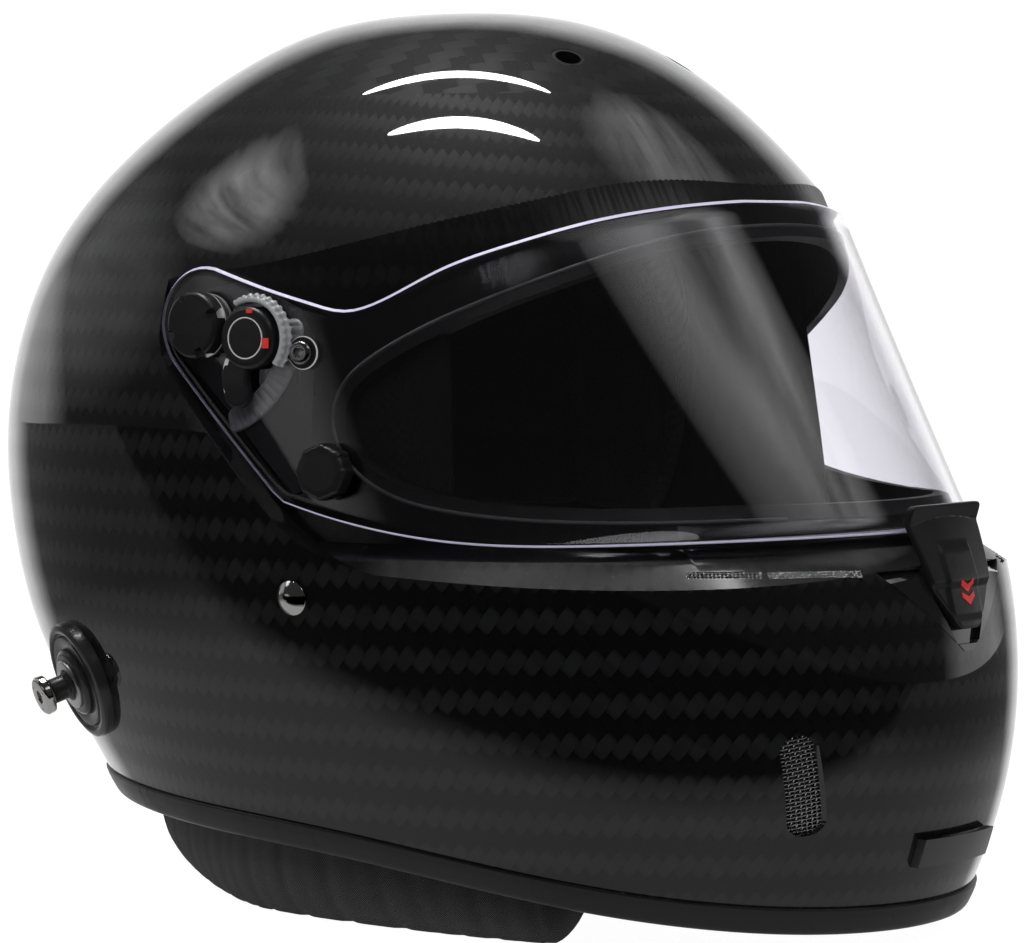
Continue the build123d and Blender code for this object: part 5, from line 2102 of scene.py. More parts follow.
    def build_strap(self, side: int, name: str) -> bpy.types.Object:
        """A strap: a thin rounded band carried down the wall, under the pad and to the middle.

        Args:
            side: 1 on the wearer's left, and -1 on the right.
            name: The side's name.

        Returns:
            The strap.
        """
        top_x = min(float(SKIN.width(np.array(self.strap_y), np.array(103.0), 4.0)), 110.0) - 2.5
        low_x = min(float(SKIN.width(np.array(self.strap_y), np.array(36.3), 4.0)), 112.0) - 2.5
        path = np.array([[top_x, 107.0], [top_x, 99.0], [(top_x + low_x) / 2 + 0.4, 68.0], [low_x, 42.0],
                         [low_x - 6.0, 36.3], [60.0, 36.3], [40.0, 28.0], [14.0, 16.0]])
        line = smooth_line(path, 160)
        along = np.gradient(line, axis=0)
        along /= np.linalg.norm(along, axis=1, keepdims=True)
        normal = np.stack([along[:, 1], -along[:, 0]], 1)
        angle = np.linspace(0, 2 * np.pi, 41)
        wide = self.strap_wide / 2 * signed_power(np.cos(angle), 0.5)
        edge = 1 - 0.18 * (np.abs(np.cos(angle)) > 0.86)
        thick = self.strap_thick / 2 * signed_power(np.sin(angle), 0.6) * edge
        end = np.ones((len(line), 1))
        end[[0, -1]] = 0
        x = line[:, :1] + normal[:, :1] * thick * end
        z = line[:, 1:] + normal[:, 1:] * thick * end
        y = self.strap_y + wide[None] * np.minimum(1, 0.9 + end * 0.1) * (end > 0)
        uv = np.stack([run_lengths(line)[:, None] + 0 * x, wide[None] + 0 * x], -1)
        points = np.stack([side * x, y, z], -1)
        piece = dress(grid_piece("strap_web_" + name, points, uv, 50), Look.WEB)
        return settle(piece, "shell", ("chin_strap_" + name,))

    def build(self) -> None:
        """Makes every soft piece."""
        self.build_liner()
        self.build_crown_pad()
        self.build_chin_foam()
        self.build_roll()
        for side, name in SIDES:
            self.build_cheek(side, name)
            self.build_strap(side, name)


# Hardware


@dataclass(frozen=True)
class Ear:
    """The fittings round the visor's ear: knob, lock dial, guard, ratchet arc, peg and stud."""

    knob: tuple = (10.0, 5.5, 3.4, 2.6)
    gap: float = 0.3
    dial: tuple = (-4.4, 179.4, 9.4, 5.2, 6.05)
    dial_marks: tuple = (((7.4, -1.4), 1.2, 1.5), ((1.6, 8.0), 1.1, 0.6))
    lever_reach: float = 21.0
    lever_radius: float = 4.6
    lever_bow: float = 2.6
    lever_lean: float = 4.5
    lever_thick: float = 3.0
    peg: tuple = (-20.8, 175.2, 3.5, 2.6)
    stud: tuple = (-30.9, 140.5, 8.4, 7.0, 8, 1.9)
    slot: tuple = (4.7, 150.0)
    slot_tail: tuple = ((-7.0, 0.9), (-7.6, 0.0), (-7.0, -0.9))
    guard: tuple = (10.6, 12.5, 3.6)
    guard_turn: tuple = (-40.0, 118.0)
    guard_ribs: float = 34.0
    rib_deep: float = 0.22
    arc: tuple = (26.5, 33.8, 4.1, 1.2, -76.0, 4.0)
    arc_ribs: float = 38.0

    def pivot_seat(self, side: int) -> Seat:
        """A seat at the pivot, on the visor's flat ear."""
        place = np.array([side * LENS.half, *LENS.pivot])
        return Seat(place, np.array([float(side), 0, 0]), np.array([0, -1.0, 0]))

    def build_knob(self, side: int, name: str) -> bpy.types.Object:
        """The pivot knob: a turned cap with a flat face, four grip notches and a pale ring under it.

        In a notch the radius stays under the notch's floor over the cosine of the angle from it.

        Args:
            side: 1 on the wearer's left, and -1 on the right.
            name: The side's name.

        Returns:
            The cap.
        """
        radius, thick, wide, deep = self.knob

        def notch(angle: Array) -> Array:
            """The most that the radius may be at angles.

            Args:
                angle: The angles.

            Returns:
                Radii.
            """
            away = np.mod(angle - np.pi / 8 + np.pi / 4, np.pi / 2) - np.pi / 4
            across = radius * np.sin(np.abs(away))
            return np.where(across < wide / 2, (radius - deep) / np.cos(away), radius)

        seat, g = self.pivot_seat(side), self.gap
        rows = [(CORE, g + 1.0, 0), (radius - 0.5, g + 1.0, 0.1), (radius - 0.1, g + 0.6, 0.1),
                (radius - 0.1, g, 0.1), (CORE, g, 0)]
        pale = dress(turned("knob_ring_" + name, seat, rows, 96), Look.PALE)
        settle(pale, "shell")
        rows = [(CORE, g + thick, 0), (radius - 0.9, g + thick, 0.6), (radius, g + thick - 0.9, 0.6),
                (radius, g + 0.6, 0.4), (radius - 0.5, g, 0.3), (6.6, g, 0), (6.6, g + 1.0, 0),
                (5.4, g + 1.0, 0), (5.4, g + thick - 2.0, 0), (CORE, g + thick - 2.0, 0)]
        piece = dress(turned("knob_cap_" + name, seat, rows, 256, notch), Look.BLACK)
        return settle(piece, "shell", ("pivot_knob_" + name,))

    def build_dial(self, side: int, name: str) -> None:
        """The lock dial: a turned button with a pale ring and red marks, and a leaning lever under it.

        Args:
            side: 1 on the wearer's left, and -1 on the right.
            name: The side's name.
        """
        y, z, radius, thick, ring = self.dial
        seat, g = LENS.seat(side, y, z), self.gap
        top = g + thick
        rows = [(CORE, top - 0.25, 0), (ring - 0.4, top, 0.2), (ring - 0.25, top - 0.4, 0.1),
                (ring + 0.25, top - 0.4, 0.1), (ring + 0.4, top, 0.2), (radius - 1.0, top - 0.1, 0.8),
                (radius, top - 1.3, 0.6), (radius, g + 0.5, 0.3), (radius - 0.4, g, 0.2), (3.0, g, 0.1),
                (3.0, -2.8, 0.1), (5.5, -2.8, 0.1), (5.5, -3.2, 0.1), (CORE, -3.2, 0)]
        button = dress(turned("dial_button_" + name, seat, rows, 128), Look.BLACK)
        settle(button, "dial_" + name, ("lock_dial_" + name,))
        low, high = top - 0.5, top - 0.05
        rows = [(ring - 0.18, low, 0), (ring - 0.18, high, 0.05), (ring + 0.18, high, 0.05),
                (ring + 0.18, low, 0), (ring - 0.18, low, 0)]
        line = dress(turned("dial_ring_" + name, seat, rows, 96), Look.PALE)
        settle(line, "dial_" + name)
        tail = self.lever_reach - self.lever_radius
        share = np.linspace(0, 1, 25)
        sweep = self.lever_bow * 4 * share * (1 - share) + self.lever_lean * share
        front, rear = self.lever_radius - sweep, -self.lever_radius - sweep
        tip = arc((0, 0), self.lever_radius, 0, -180, 15)[1:-1]
        outline = np.concatenate([np.stack([front, -tail * share], 1), tip + (-self.lever_lean, -tail),
                                  np.stack([rear, -tail * share], 1)[::-1]])[::-1]

        def lift(a: Array, b: Array, h: Array) -> Array:
            """Points of the lever, with a swelling near its end."""
            swell = 0.4 * np.exp(-((b + tail * 0.75) / 6) ** 2) * (h > 1)
            return seat.place(a, seat.flip * b, g + h + swell)

        lever = dress(plate("dial_lever_" + name, outline, lift, self.lever_thick, 0.9, 10), Look.BLACK)
        settle(lever, "dial_" + name)
        inner = np.stack([rear + 0.5, -tail * share], 1)[9:]
        outer = np.stack([rear + 0.7 + 1.3 * np.sin(np.pi * share), -tail * share], 1)[9:]
        strip = np.concatenate([inner, outer[::-1]])
        pale = plate("dial_lever_mark_" + name, strip, seat.raised(g + self.lever_thick), 0.25, 0.08, 4)
        settle(dress(pale, Look.PALE), "dial_" + name)
        for number, (at, wide, tall) in enumerate(self.dial_marks):
            box = np.array([(-1, -1), (1, -1), (1, 1), (-1, 1)]) * (wide, tall) + at
            dot = plate(f"dial_mark_{number}_{name}", subdivide(box, 5),
                        seat.raised(top - 0.12), 0.3, 0.1, 4)
            settle(dress(dot, Look.RED), "dial_" + name)

    def build_guard(self, side: int, name: str) -> None:
        """The milky guard round the dial's top and front: a ribbed wall on part of a circle.

        Args:
            side: 1 on the wearer's left, and -1 on the right.
            name: The side's name.
        """
        inner, outer, tall = self.guard
        y, z = self.dial[:2]
        seat = LENS.seat(side, y, z)
        rows = [(inner, 0.05, 0), (inner, tall - 0.8, 0.3), (inner + 0.6, tall, 0.4),
                (outer - 0.6, tall, 0.4), (outer, tall - 0.9, 0.3), (outer, 1.2, 0.3),
                (outer + 0.6, 0.6, 0.3), (outer + 0.7, 0.05, 0.1), (inner, 0.05, 0)]
        low, high = self.guard_turn
        start, stop = (low, high) if seat.flip > 0 else (-high, -low)
        line = rounded(rows)
        turn = np.radians(np.linspace(start, stop, 160))[None]
        rib = self.rib_deep * signed_power(np.sin(turn * self.guard_ribs), 0.5)
        radius = line[:, :1] + rib * (line[:, :1] > outer - 0.3)
        points = seat.place(radius * np.cos(turn), radius * np.sin(turn), line[:, 1:] + 0 * turn)
        middle = np.repeat(points.mean(axis=0, keepdims=True), len(line), axis=0)
        points = np.concatenate([middle[:, :1], points, middle[:, -1:]], axis=1)
        piece = grid_piece("dial_guard_" + name, points)
        settle(dress(piece, Look.RIBBED), "visor")

    def build_arc(self, side: int, name: str) -> None:
        """The ratchet arc: a band round the pivot, ribbed across, with round ends.

        Its half width and height fade as a quarter circle at the ends, and its top carries ribs,
        the size of a sine along it.

        Args:
            side: 1 on the wearer's left, and -1 on the right.
            name: The side's name.
        """
        inner, outer, depth, tall, start, stop = self.arc
        half, middle = (outer - inner) / 2, (outer + inner) / 2
        turn = np.radians(np.linspace(start, stop, 420))[None]
        ends = np.minimum(turn.max() - turn, turn - turn.min()) * middle
        fade = np.sqrt(np.clip(1 - (1 - np.minimum(ends / half, 1)) ** 2, 0, 1))
        round_ = np.linspace(0, 2 * np.pi, 29)[:, None]
        radius = middle + half * fade * signed_power(np.cos(round_), 0.45)
        up = (signed_power(np.sin(round_), 0.45) + 1) / 2
        rib = 0.35 * np.abs(np.sin(turn * self.arc_ribs)) * (up > 0.9) * fade
        y = LENS.pivot[0] - radius * np.cos(turn)
        z = LENS.pivot[1] + radius * np.sin(turn)
        points = np.stack([side * LENS.width(y, z, depth - (tall * up + rib) * fade), y, z], -1)
        piece = grid_piece("ratchet_band_" + name, points, angle=60)
        settle(dress(piece, Look.MILKY), "shell", ("ratchet_arc_" + name,))

    def build_peg(self, side: int, name: str) -> None:
        """The visor's peg: a turned steel head on a black teardrop plate, painted shade for its slot, with a
        pale outline.

        Args:
            side: 1 on the wearer's left, and -1 on the right.
            name: The side's name.
        """
        y, z, radius, tall = self.peg
        seat = LENS.seat(side, y, z)
        rows = [(CORE, tall - 0.25, 0), (1.5, tall - 0.2, 0.1), (1.7, tall, 0.1), (radius - 0.6, tall, 0.5),
                (radius, tall - 0.7, 0.3), (radius, 0.45, 0.1), (2.6, 0.45, 0.1), (2.6, -2.5, 0.1),
                (CORE, -2.5, 0)]
        pin = dress(turned("peg_head_" + name, seat, rows, 96), Look.STEEL)
        settle(pin, "visor", ("visor_peg_" + name,))
        reach, turn = self.slot
        drop = np.concatenate([arc((0, 0), reach, -turn, turn, 41), self.slot_tail])
        line = plate("peg_line_" + name, drop * 1.06 + (0.2, 0), seat.raised(0.02), 0.3, 0.1, 8)
        settle(dress(line, Look.PALE), "visor")
        # A black plate over the visor paints the shade of the teardrop recess round the peg.
        slot = plate("peg_slot_painted_shade_" + name, drop, seat.raised(0.05), 0.4, 0.15, 8)
        settle(dress(slot, Look.BLACK), "visor")

    def build_stud(self, side: int, name: str) -> None:
        """The stud for tear-off films: a turned button with lobes round it and a flange under it.

        Args:
            side: 1 on the wearer's left, and -1 on the right.
            name: The side's name.
        """
        y, z, radius, tall, lobes, lobe = self.stud
        seat = LENS.seat(side, y, z)

        def edge(angle: Array) -> Array:
            """Radius of the lobed edge at angles.

            Args:
                angle: The angles.

            Returns:
                Radii.
            """
            away = np.mod(angle + np.pi / lobes, 2 * np.pi / lobes) - np.pi / lobes
            reach = radius - lobe
            bulge = reach * np.cos(away) + np.sqrt(np.maximum(lobe ** 2 - (reach * np.sin(away)) ** 2, 0))
            return np.maximum(np.where(np.abs(reach * np.sin(away)) < lobe, bulge, 0), radius - lobe / 4)

        top = 0.6 + tall
        rows = [(CORE, top, 0), (3.4, top, 0.5), (4.3, top, 0.4), (5.4, top, 0.3)]
        line = rounded(rows + [(5.4, top, 0)])
        angle = np.radians(np.linspace(0, 360, 257))
        bound = edge(angle)
        sides = [(-1.1, top - 0.15), (-0.5, top - 0.5), (-0.1, top - 1.2), (0.0, top - 2.0), (0.0, 1.6),
                 (-0.2, 0.9), (-0.7, 0.6)]
        flange = [(3.0, 0.6), (3.0, -2.8), (5.5, -2.8), (5.5, -3.7), (CORE, -3.7)]
        radii = [r + 0 * angle for r, _ in line] + [bound + a for a, _ in sides]
        radii = np.stack(radii + [r + 0 * angle for r, _ in flange])
        heights = np.array([h for _, h in [*line, *sides, *flange]])[:, None] + 0 * angle
        points = seat.place(radii * np.cos(angle), radii * np.sin(angle), heights)
        piece = dress(grid_piece("stud_lobed_" + name, points, angle=40), Look.BLACK)
        settle(piece, "stud_" + name, ("tear_off_stud_" + name,))

    def build(self) -> None:
        """Makes the fittings of both ears."""
        for side, name in SIDES:
            self.build_knob(side, name)
            self.build_dial(side, name)
            self.build_guard(side, name)
            self.build_arc(side, name)
            self.build_peg(side, name)
            self.build_stud(side, name)


def subdivide(corners: Array, steps: int) -> Array:
    """A closed line with more points on each straight side.

    Args:
        corners: The line's corners.
        steps: Parts of each side.

    Returns:
        The line.
    """
    ahead = np.roll(corners, -1, axis=0)
    share = np.linspace(0, 1, steps + 1)[:-1, None]
    return np.concatenate([a + (b - a) * share for a, b in zip(corners, ahead)])


@dataclass(frozen=True)
class Anchor:
    """The head restraint anchor at the rear, and the strap's rivet."""

    place: tuple = (91.8, 69.5)
    disc: float = 19.2
    rim: float = 3.0
    ring: tuple = (11.0, 1.6)
    washer: tuple = (8.0, 1.2)
    neck: tuple = (4.0, 7.0)
    head: tuple = (6.4, 3.0)
    socket: float = 2.0
    pits: tuple = (3, 4.3, 0.5)
    rivet: tuple = (-18.8, 103.0, 5.25, 3.0)

    def skin_lift(self, seat: Seat, radius: Array, angle: Array) -> Array:
        """Height of the skin over the seat's plane, less a little, found along x from side view.

        Args:
            seat: The seat.
            radius: Distances from its axis.
            angle: Angles round it.

        Returns:
            Heights.
        """
        points = seat.place(radius * np.cos(angle), radius * np.sin(angle), 0 * radius)
        wide = SKIN.width(points[..., 1], points[..., 2])
        away = wide - np.abs(points[..., 0])
        return away * abs(seat.out[0])

    @property
    def levels(self) -> tuple[float, float, float, float]:
        """Heights of the ring's top, the washer's top, the neck's end and the head's end.

        Returns:
            The four heights over the seat.
        """
        top = self.rim + self.ring[1]
        high = top + self.washer[1]
        return top, high, high + self.neck[1], high + self.neck[1] + self.head[1]

    def build_disc(self, seat: Seat, name: str) -> None:
        """The disc: turned rings over one another, its rim laid on the skin.

        Args:
            seat: The anchor's place.
            name: Its side's name.
        """
        angle = np.linspace(0, 2 * np.pi, 129)[None]
        rings = np.array([(self.disc, 0), (self.disc, 1.6), (self.disc - 0.3, 2.5), (self.disc - 1.4, 3.0),
                          (17.0, 3.0), (16.4, 2.75), (16.0, 2.1), (15.4, 2.1), (14.9, 2.9), (12.0, 3.0),
                          (11.2, 2.6), (6.0, 2.6)])
        radius, height = (rings[:, k:k + 1] + 0 * angle for k in (0, 1))
        height[0] = self.skin_lift(seat, radius[0], angle[0]) - 0.6
        height[1] = np.maximum(height[1], height[0] + 1.2)
        height[2] = np.maximum(height[2], height[0] + 1.8)
        hub, rim = radius[-1:], radius[:1] - 0.4
        deep, low = 0 * height[:1] - 0.8 + np.minimum(height[0].min(), 0), height[:1] - 0.4
        reach = np.concatenate([rim, radius, hub, rim])
        level = np.concatenate([low, height, deep, low])
        points = seat.place(reach * np.cos(angle), reach * np.sin(angle), level)
        disc = dress(grid_piece("anchor_disc_turned_" + name, points, angle=30), Look.ANCHOR)
        settle(disc, "shell", ("anchor_disc_" + name,))

    def build_rings(self, seat: Seat, name: str) -> None:
        """The ring on the disc, the washer on the ring, and the stem through both.

        Args:
            seat: The anchor's place.
            name: Its side's name.
        """
        base, (top, high, neck, _) = self.rim - 0.4, self.levels
        ring, washer, stem, head = self.ring[0], self.washer[0], self.neck[0], self.head[0]
        rows = [(6.0, base, 0), (6.0, top - 0.5, 0.3), (7.2, top, 0.3), (9.9, top, 0.4),
                (ring, top - 0.9, 0.4), (ring, base, 0), (6.0, base, 0)]
        piece = dress(turned("anchor_ring_turned_" + name, seat, rows, 128), Look.ANCHOR)
        settle(piece, "shell", ("anchor_ring_" + name,))
        rows = [(3.2, top - 0.6, 0), (washer - 0.2, top - 0.6, 0.1), (washer, top + 0.2, 0.2),
                (washer, high - 0.3, 0.2), (washer - 0.4, high, 0.2), (4.4, high, 0.1), (3.2, high, 0),
                (3.2, top - 0.6, 0)]
        piece = dress(turned("anchor_washer_turned_" + name, seat, rows, 128), Look.ALLOY)
        settle(piece, "shell", ("anchor_washer_" + name,))
        rows = [(CORE, -6.0, 0), (3.0, -6.0, 0.1), (3.0, high - 0.1, 0), (5.2, high - 0.1, 0.1),
                (5.2, high + 0.5, 0.3), (stem, high + 1.2, 0.4), (stem, neck - 0.9, 0.5),
                (head - 0.3, neck, 0.2), (CORE, neck, 0)]
        piece = dress(turned("anchor_neck_turned_" + name, seat, rows, 128), Look.ANCHOR)
        settle(piece, "shell")

    def build_head(self, seat: Seat, name: str) -> None:
        """The post's head with its hexagon socket, and three small black discs in its face, painted shade for
        its pits.

        The socket's wall is its half width over the cosine of the angle from the nearest side.

        Args:
            seat: The anchor's place.
            name: Its side's name.
        """
        _, _, neck, end = self.levels
        wide = self.head[0]
        angle = np.linspace(0, 2 * np.pi, 129)
        line = rounded([(wide - 0.3, neck, 0.1), (wide, neck + 0.4, 0.2), (wide, end - 0.7, 0.3),
                        (wide - 0.8, end, 0.4), (3.2, end, 0.2)])
        hexagon = self.socket / np.cos(np.mod(angle + np.pi / 6, np.pi / 3) - np.pi / 6)
        radii = [CORE + 0 * angle, *(r + 0 * angle for r, _ in line)]
        radii = np.stack([*radii, hexagon * 1.12, hexagon, hexagon, CORE + 0 * angle])
        heights = np.array([neck, *(h for _, h in line), end, end - 0.15, end - 1.6, end - 1.7])[:, None]
        points = seat.place(radii * np.cos(angle), radii * np.sin(angle), heights + 0 * angle)
        head = dress(grid_piece("anchor_head_" + name, points, angle=30), Look.BRIGHT)
        settle(head, "shell", ("anchor_post_" + name,))
        # Each pit is a flat black disc on the steel face: painted shade in place of its hollow.
        rows = [(CORE, 0.03, 0), (0.42, 0.03, 0.1), (0.55, -0.2, 0), (CORE, -0.3, 0)]
        count, reach, start = self.pits
        for number in range(count):
            turn = 2 * np.pi * number / count + start
            middle = seat.place(*(np.array(v) for v in (reach * np.cos(turn), reach * np.sin(turn), end)))
            pit = turned(f"anchor_pit_{number}_{name}", Seat(middle, seat.out, seat.along), rows, 20)
            settle(dress(pit, Look.BLACK), "shell")

    def build_rivet(self, side: int, name: str) -> None:
        """The strap's rivet: a turned dome outside, a shank, and a foot inside the shell.

        Args:
            side: 1 on the wearer's left, and -1 on the right.
            name: The side's name.
        """
        y, z, radius, dome = self.rivet
        rows = [(CORE, dome, 0), (1.5, dome - 0.12, 0.8), (3.4, dome - 0.9, 1.2), (radius - 0.5, 1.0, 0.9),
                (radius, 0.55, 0.2), (radius, 0.32, 0.1), (2.4, 0.32, 0.1), (2.4, -8.5, 0),
                (radius, -8.5, 0.2), (radius, -9.6, 0.2), (CORE, -9.6, 0)]
        piece = dress(turned("rivet_dome_" + name, skin_seat(side, y, z), rows, 96), Look.BRIGHT)
        settle(piece, "shell", ("strap_rivet_" + name,))

    def build(self) -> None:
        """Makes the anchor of each side, from the disc to the head, and the rivet's dome."""
        for side, name in SIDES:
            seat = skin_seat(side, *self.place)
            self.build_disc(seat, name)
            self.build_rings(seat, name)
            self.build_head(seat, name)
            self.build_rivet(side, name)


@dataclass(frozen=True)
class Latch:
    """The chin latch: a spade that lies in its seat, steps over the shell and stands before the visor."""

    top: float = 131.2
    half: float = 18.2
    shoulder: float = 6.0
    waist: float = 108.0
    waist_half: float = 15.2
    tip: float = 95.0
    tip_half: float = 5.0
    proud: float = 2.0
    rise: float = 3.0
    back: float = 1.2
    lift: float = 0.8
    step: float = 112.7
    thick: float = 2.7
    clear: float = 0.6
    edge: float = 0.7
    boss: float = 0.7
    boss_ends: tuple = (97.0, 100.0, 117.0, 121.0)
    marks: tuple = (107.2, 103.6)
    chevron: tuple = ((-3.2, 0.7), (0, -1.6), (3.2, 0.7), (3.2, 2.3), (0, 0.1), (-3.2, 2.3))
    corner: float = 2.2

    def drum(self, z: Array, extra: float) -> Array:
        """Y of the drum about the pivots just outside the visor's path.

        Args:
            z: Heights.
            extra: Added to its radius.

        Returns:
            Places along the helmet.
        """
        low = float(LINES.lower[0, 1])
        reach = np.hypot(LENS.pivot[0] - LENS.nose(low), LENS.pivot[1] - low) + self.clear + extra
        return LENS.pivot[0] - np.sqrt(reach ** 2 - (z - LENS.pivot[1]) ** 2)

    def front(self, x: Array, z: Array) -> Array:
        """Y of the latch's front: the skin moved out, or the drum where that stands further out.

        Args:
            x: Places across.
            z: Heights.

        Returns:
            Places along the helmet.
        """
        skin = SKIN.front(x, z, 0.0)
        out = self.proud + (self.rise - self.proud) * smooth_step(z, self.waist - 1.5, self.waist + 1.5)
        drum = np.where(z > self.waist, self.drum(z, self.thick), 0)
        blend = smooth_step(z, self.waist, self.waist + 3)
        return np.minimum(skin - out, drum * blend)

    def rear(self, x: Array, z: Array) -> Array:
        """Y of the latch's back.

        Args:
            x: Places across.
            z: Heights.

        Returns:
            Places along the helmet.
        """
        skin = SKIN.front(x, z, 0.0)
        inset = np.where(z < self.step, self.back, -self.lift)
        return np.minimum(skin + inset, self.drum(z, 0.0))

    def outline(self) -> Array:
        """Front view of the latch, its corners rounded.

        Returns:
            Pairs of x and z.
        """
        right = np.array([(self.tip_half, self.tip), (self.waist_half, self.waist),
                          (self.half, self.top - self.shoulder), (self.half, self.top)])
        corners = np.concatenate([right, right[::-1] * (-1, 1)])
        made = []
        for before, here, after in zip(np.roll(corners, 1, axis=0), corners, np.roll(corners, -1, axis=0)):
            a = here + (before - here) / np.linalg.norm(before - here) * self.corner
            b = here + (after - here) / np.linalg.norm(after - here) * self.corner
            share = np.linspace(0, 1, 6)[:, None]
            made.append((1 - share) ** 2 * a + 2 * share * (1 - share) * here + share ** 2 * b)
        closed = np.concatenate([*made, made[0][:1]])
        steps = run_lengths(closed)
        at = np.linspace(0, steps[-1], 161)[:-1]
        return np.stack([np.interp(at, steps, closed[:, k]) for k in (0, 1)], 1)

    def build(self) -> None:
        """The latch as one plate with a raised middle, and its two red marks."""

        def lift(x: Array, z: Array, h: Array) -> Array:
            """Points between the latch's back and its front, which carries the boss.

            Args:
                x: Places across.
                z: Heights.
                h: Height over the back, in the plate's own thickness.

            Returns:
                Points.
            """
            share = h / self.thick
            front, rear = self.front(x, z), self.rear(x, z)
            mid = smooth_step(z, *self.boss_ends[:2]) * (1 - smooth_step(z, *self.boss_ends[2:]))
            mid = mid * (1 - smooth_step(np.abs(x + 1.0), 7.0, 8.5))
            lump = self.boss * mid * np.clip((share - 0.6) * 2.5, 0, 1)
            return np.stack([x, rear + (front - rear) * share - lump, z], -1)

        def on_boss(x: Array, z: Array, h: Array) -> Array:
            """Points of a mark on the boss."""
            return np.stack([x, self.front(x, z) - self.boss - h + 0.05, z], -1)

        piece = plate("latch_spade", self.outline(), lift, self.thick, self.edge, 34)
        smooth(piece, 25)
        settle(dress(piece, Look.SATIN), "latch", ("chin_latch",))
        for number, z in enumerate(self.marks):
            arms = subdivide(np.array(self.chevron) + (0, z), 4)
            mark = plate(f"latch_mark_{number}", arms, on_boss, 0.25, 0.06, 4)
            settle(dress(mark, Look.RED), "latch")


@dataclass(frozen=True)
class Mesh:
    """Woven wire behind the vent slots: wires that pass over and under each other."""

    pitch: float = 1.15
    wire: float = 0.2
    sides: int = 6

    def weave(self, name: str, wide: float, tall: float, inside: Callable, lift: Callable,
              node: Sequence[str]) -> bpy.types.Object:
        """Wires both ways in a slot: each one's height is a sine over the wires that it crosses.

        Args:
            name: The piece's name.
            wide: Half reach along the first way.
            tall: Half reach along the second way.
            inside: Says how far each way a wire runs at a place.
            lift: Turns two places and a height into points.
            node: CAD nodes that it stands for.

        Returns:
            The piece.
        """
        points, faces, total = [], [], 0
        turn = np.linspace(0, 2 * np.pi, self.sides + 1)[None]
        for way, (reach, cross) in enumerate(((wide, tall), (tall, wide))):
            places = np.arange(-np.floor(cross / self.pitch), np.floor(cross / self.pitch) + 1) * self.pitch
            for number, place in enumerate(places):
                low, high = inside(way, place)
                if high - low < self.pitch:
                    continue
                run = np.linspace(low, high, max(int((high - low) / self.pitch * 4), 6))[:, None]
                turns = run / self.pitch + number + len(places) // 2
                wave = self.wire * (1 if way else -1) * np.cos(np.pi * turns)
                across = place + self.wire * np.cos(turn) + 0 * run
                height = wave + self.wire * np.sin(turn)
                a, b = (run + 0 * turn, across) if way == 0 else (across, run + 0 * turn)
                points.append(lift(a, b, height).reshape(-1, 3))
                faces.append(grid_faces(len(run), self.sides + 1) + total)
                total += len(points[-1])
        piece = add_mesh(name, np.concatenate(points), np.concatenate(faces))
        smooth(piece, 80)
        return settle(dress(piece, Look.WIRE), "shell", node)

    def build(self, shell: Shell) -> None:
        """Wire for the two chin slots and the four slots in the shelf under the visor.

        Args:
            shell: The shell, for its slots.
        """
        for side, name in SIDES:
            top = np.array([side * (shell.slot_x + shell.slot_shift / 2), shell.slot_top - shell.slot_half])
            low = np.array([side * (shell.slot_x - shell.slot_shift / 2), shell.slot_low + shell.slot_half])
            middle, along = (top + low) / 2, (top - low) / np.linalg.norm(top - low)
            straight, half = np.linalg.norm(top - low) / 2, shell.slot_half

            def inside(way: int, place: float) -> tuple[float, float]:
                """How far each way a wire runs at a place across.

                Args:
                    way: 0 along the slot, and 1 across it.
                    place: Distance of the wire from the middle.

                Returns:
                    Where it starts and ends.
                """
                if way == 0:
                    reach = straight + np.sqrt(max(half ** 2 - place ** 2, 0))
                else:
                    reach = np.sqrt(max(half ** 2 - max(abs(place) - straight, 0) ** 2, 0))
                return -reach, reach

            def lift(a: Array, b: Array, height: Array) -> Array:
                """Points of the wires, a little behind the skin.

                Args:
                    a: Distances along the slot.
                    b: Distances across it.
                    height: Heights out of it.

                Returns:
                    Points.
                """
                x = middle[0] + along[0] * a - along[1] * b
                z = middle[1] + along[1] * a + along[0] * b
                return np.stack([x, SKIN.front(x, z, 0.0) + 2.0 - height, z], -1)

            self.weave("vent_wire_" + name, straight + half, half, inside, lift, ("chin_vent_mesh_" + name,))
            for number, (across, length) in enumerate(shell.shelf_slots):
                seat, reach = shell.shelf_seat(side, across), (length / 2, shell.shelf_tall / 2)
                self.weave(f"shelf_wire_{number}_{name}", *reach,
                           lambda way, place, reach=reach: (-reach[way], reach[way]),
                           lambda a, b, height, seat=seat: seat.place(a, b, height - 0.5),
                           ("shelf_vent_meshes",) if (side, number) == (1, 0) else ())


KEPT = {
    "eye_port_gasket": Look.GASKET, "latch_seat": Look.GLOSS, "crown_hole_liners": Look.SATIN,
    "chin_lip": Look.GLOSS, "strap_d_rings": Look.STEEL,
    "side_plate_left": Look.PLATE, "side_plate_right": Look.PLATE,
    "pivot_post_left": Look.STEEL, "pivot_post_right": Look.STEEL,
    "pivot_washer_left": Look.NYLON, "pivot_washer_right": Look.NYLON,
    "anchor_nut_left": Look.STEEL, "anchor_nut_right": Look.STEEL}


# The studio


def standing(ways: Sequence, place: Sequence) -> Matrix:
    """The matrix of an object at a place, its three axes along three ways."""
    return Matrix([[*(way[k] for way in ways), place[k]] for k in range(3)] + [[0, 0, 0, 1]])


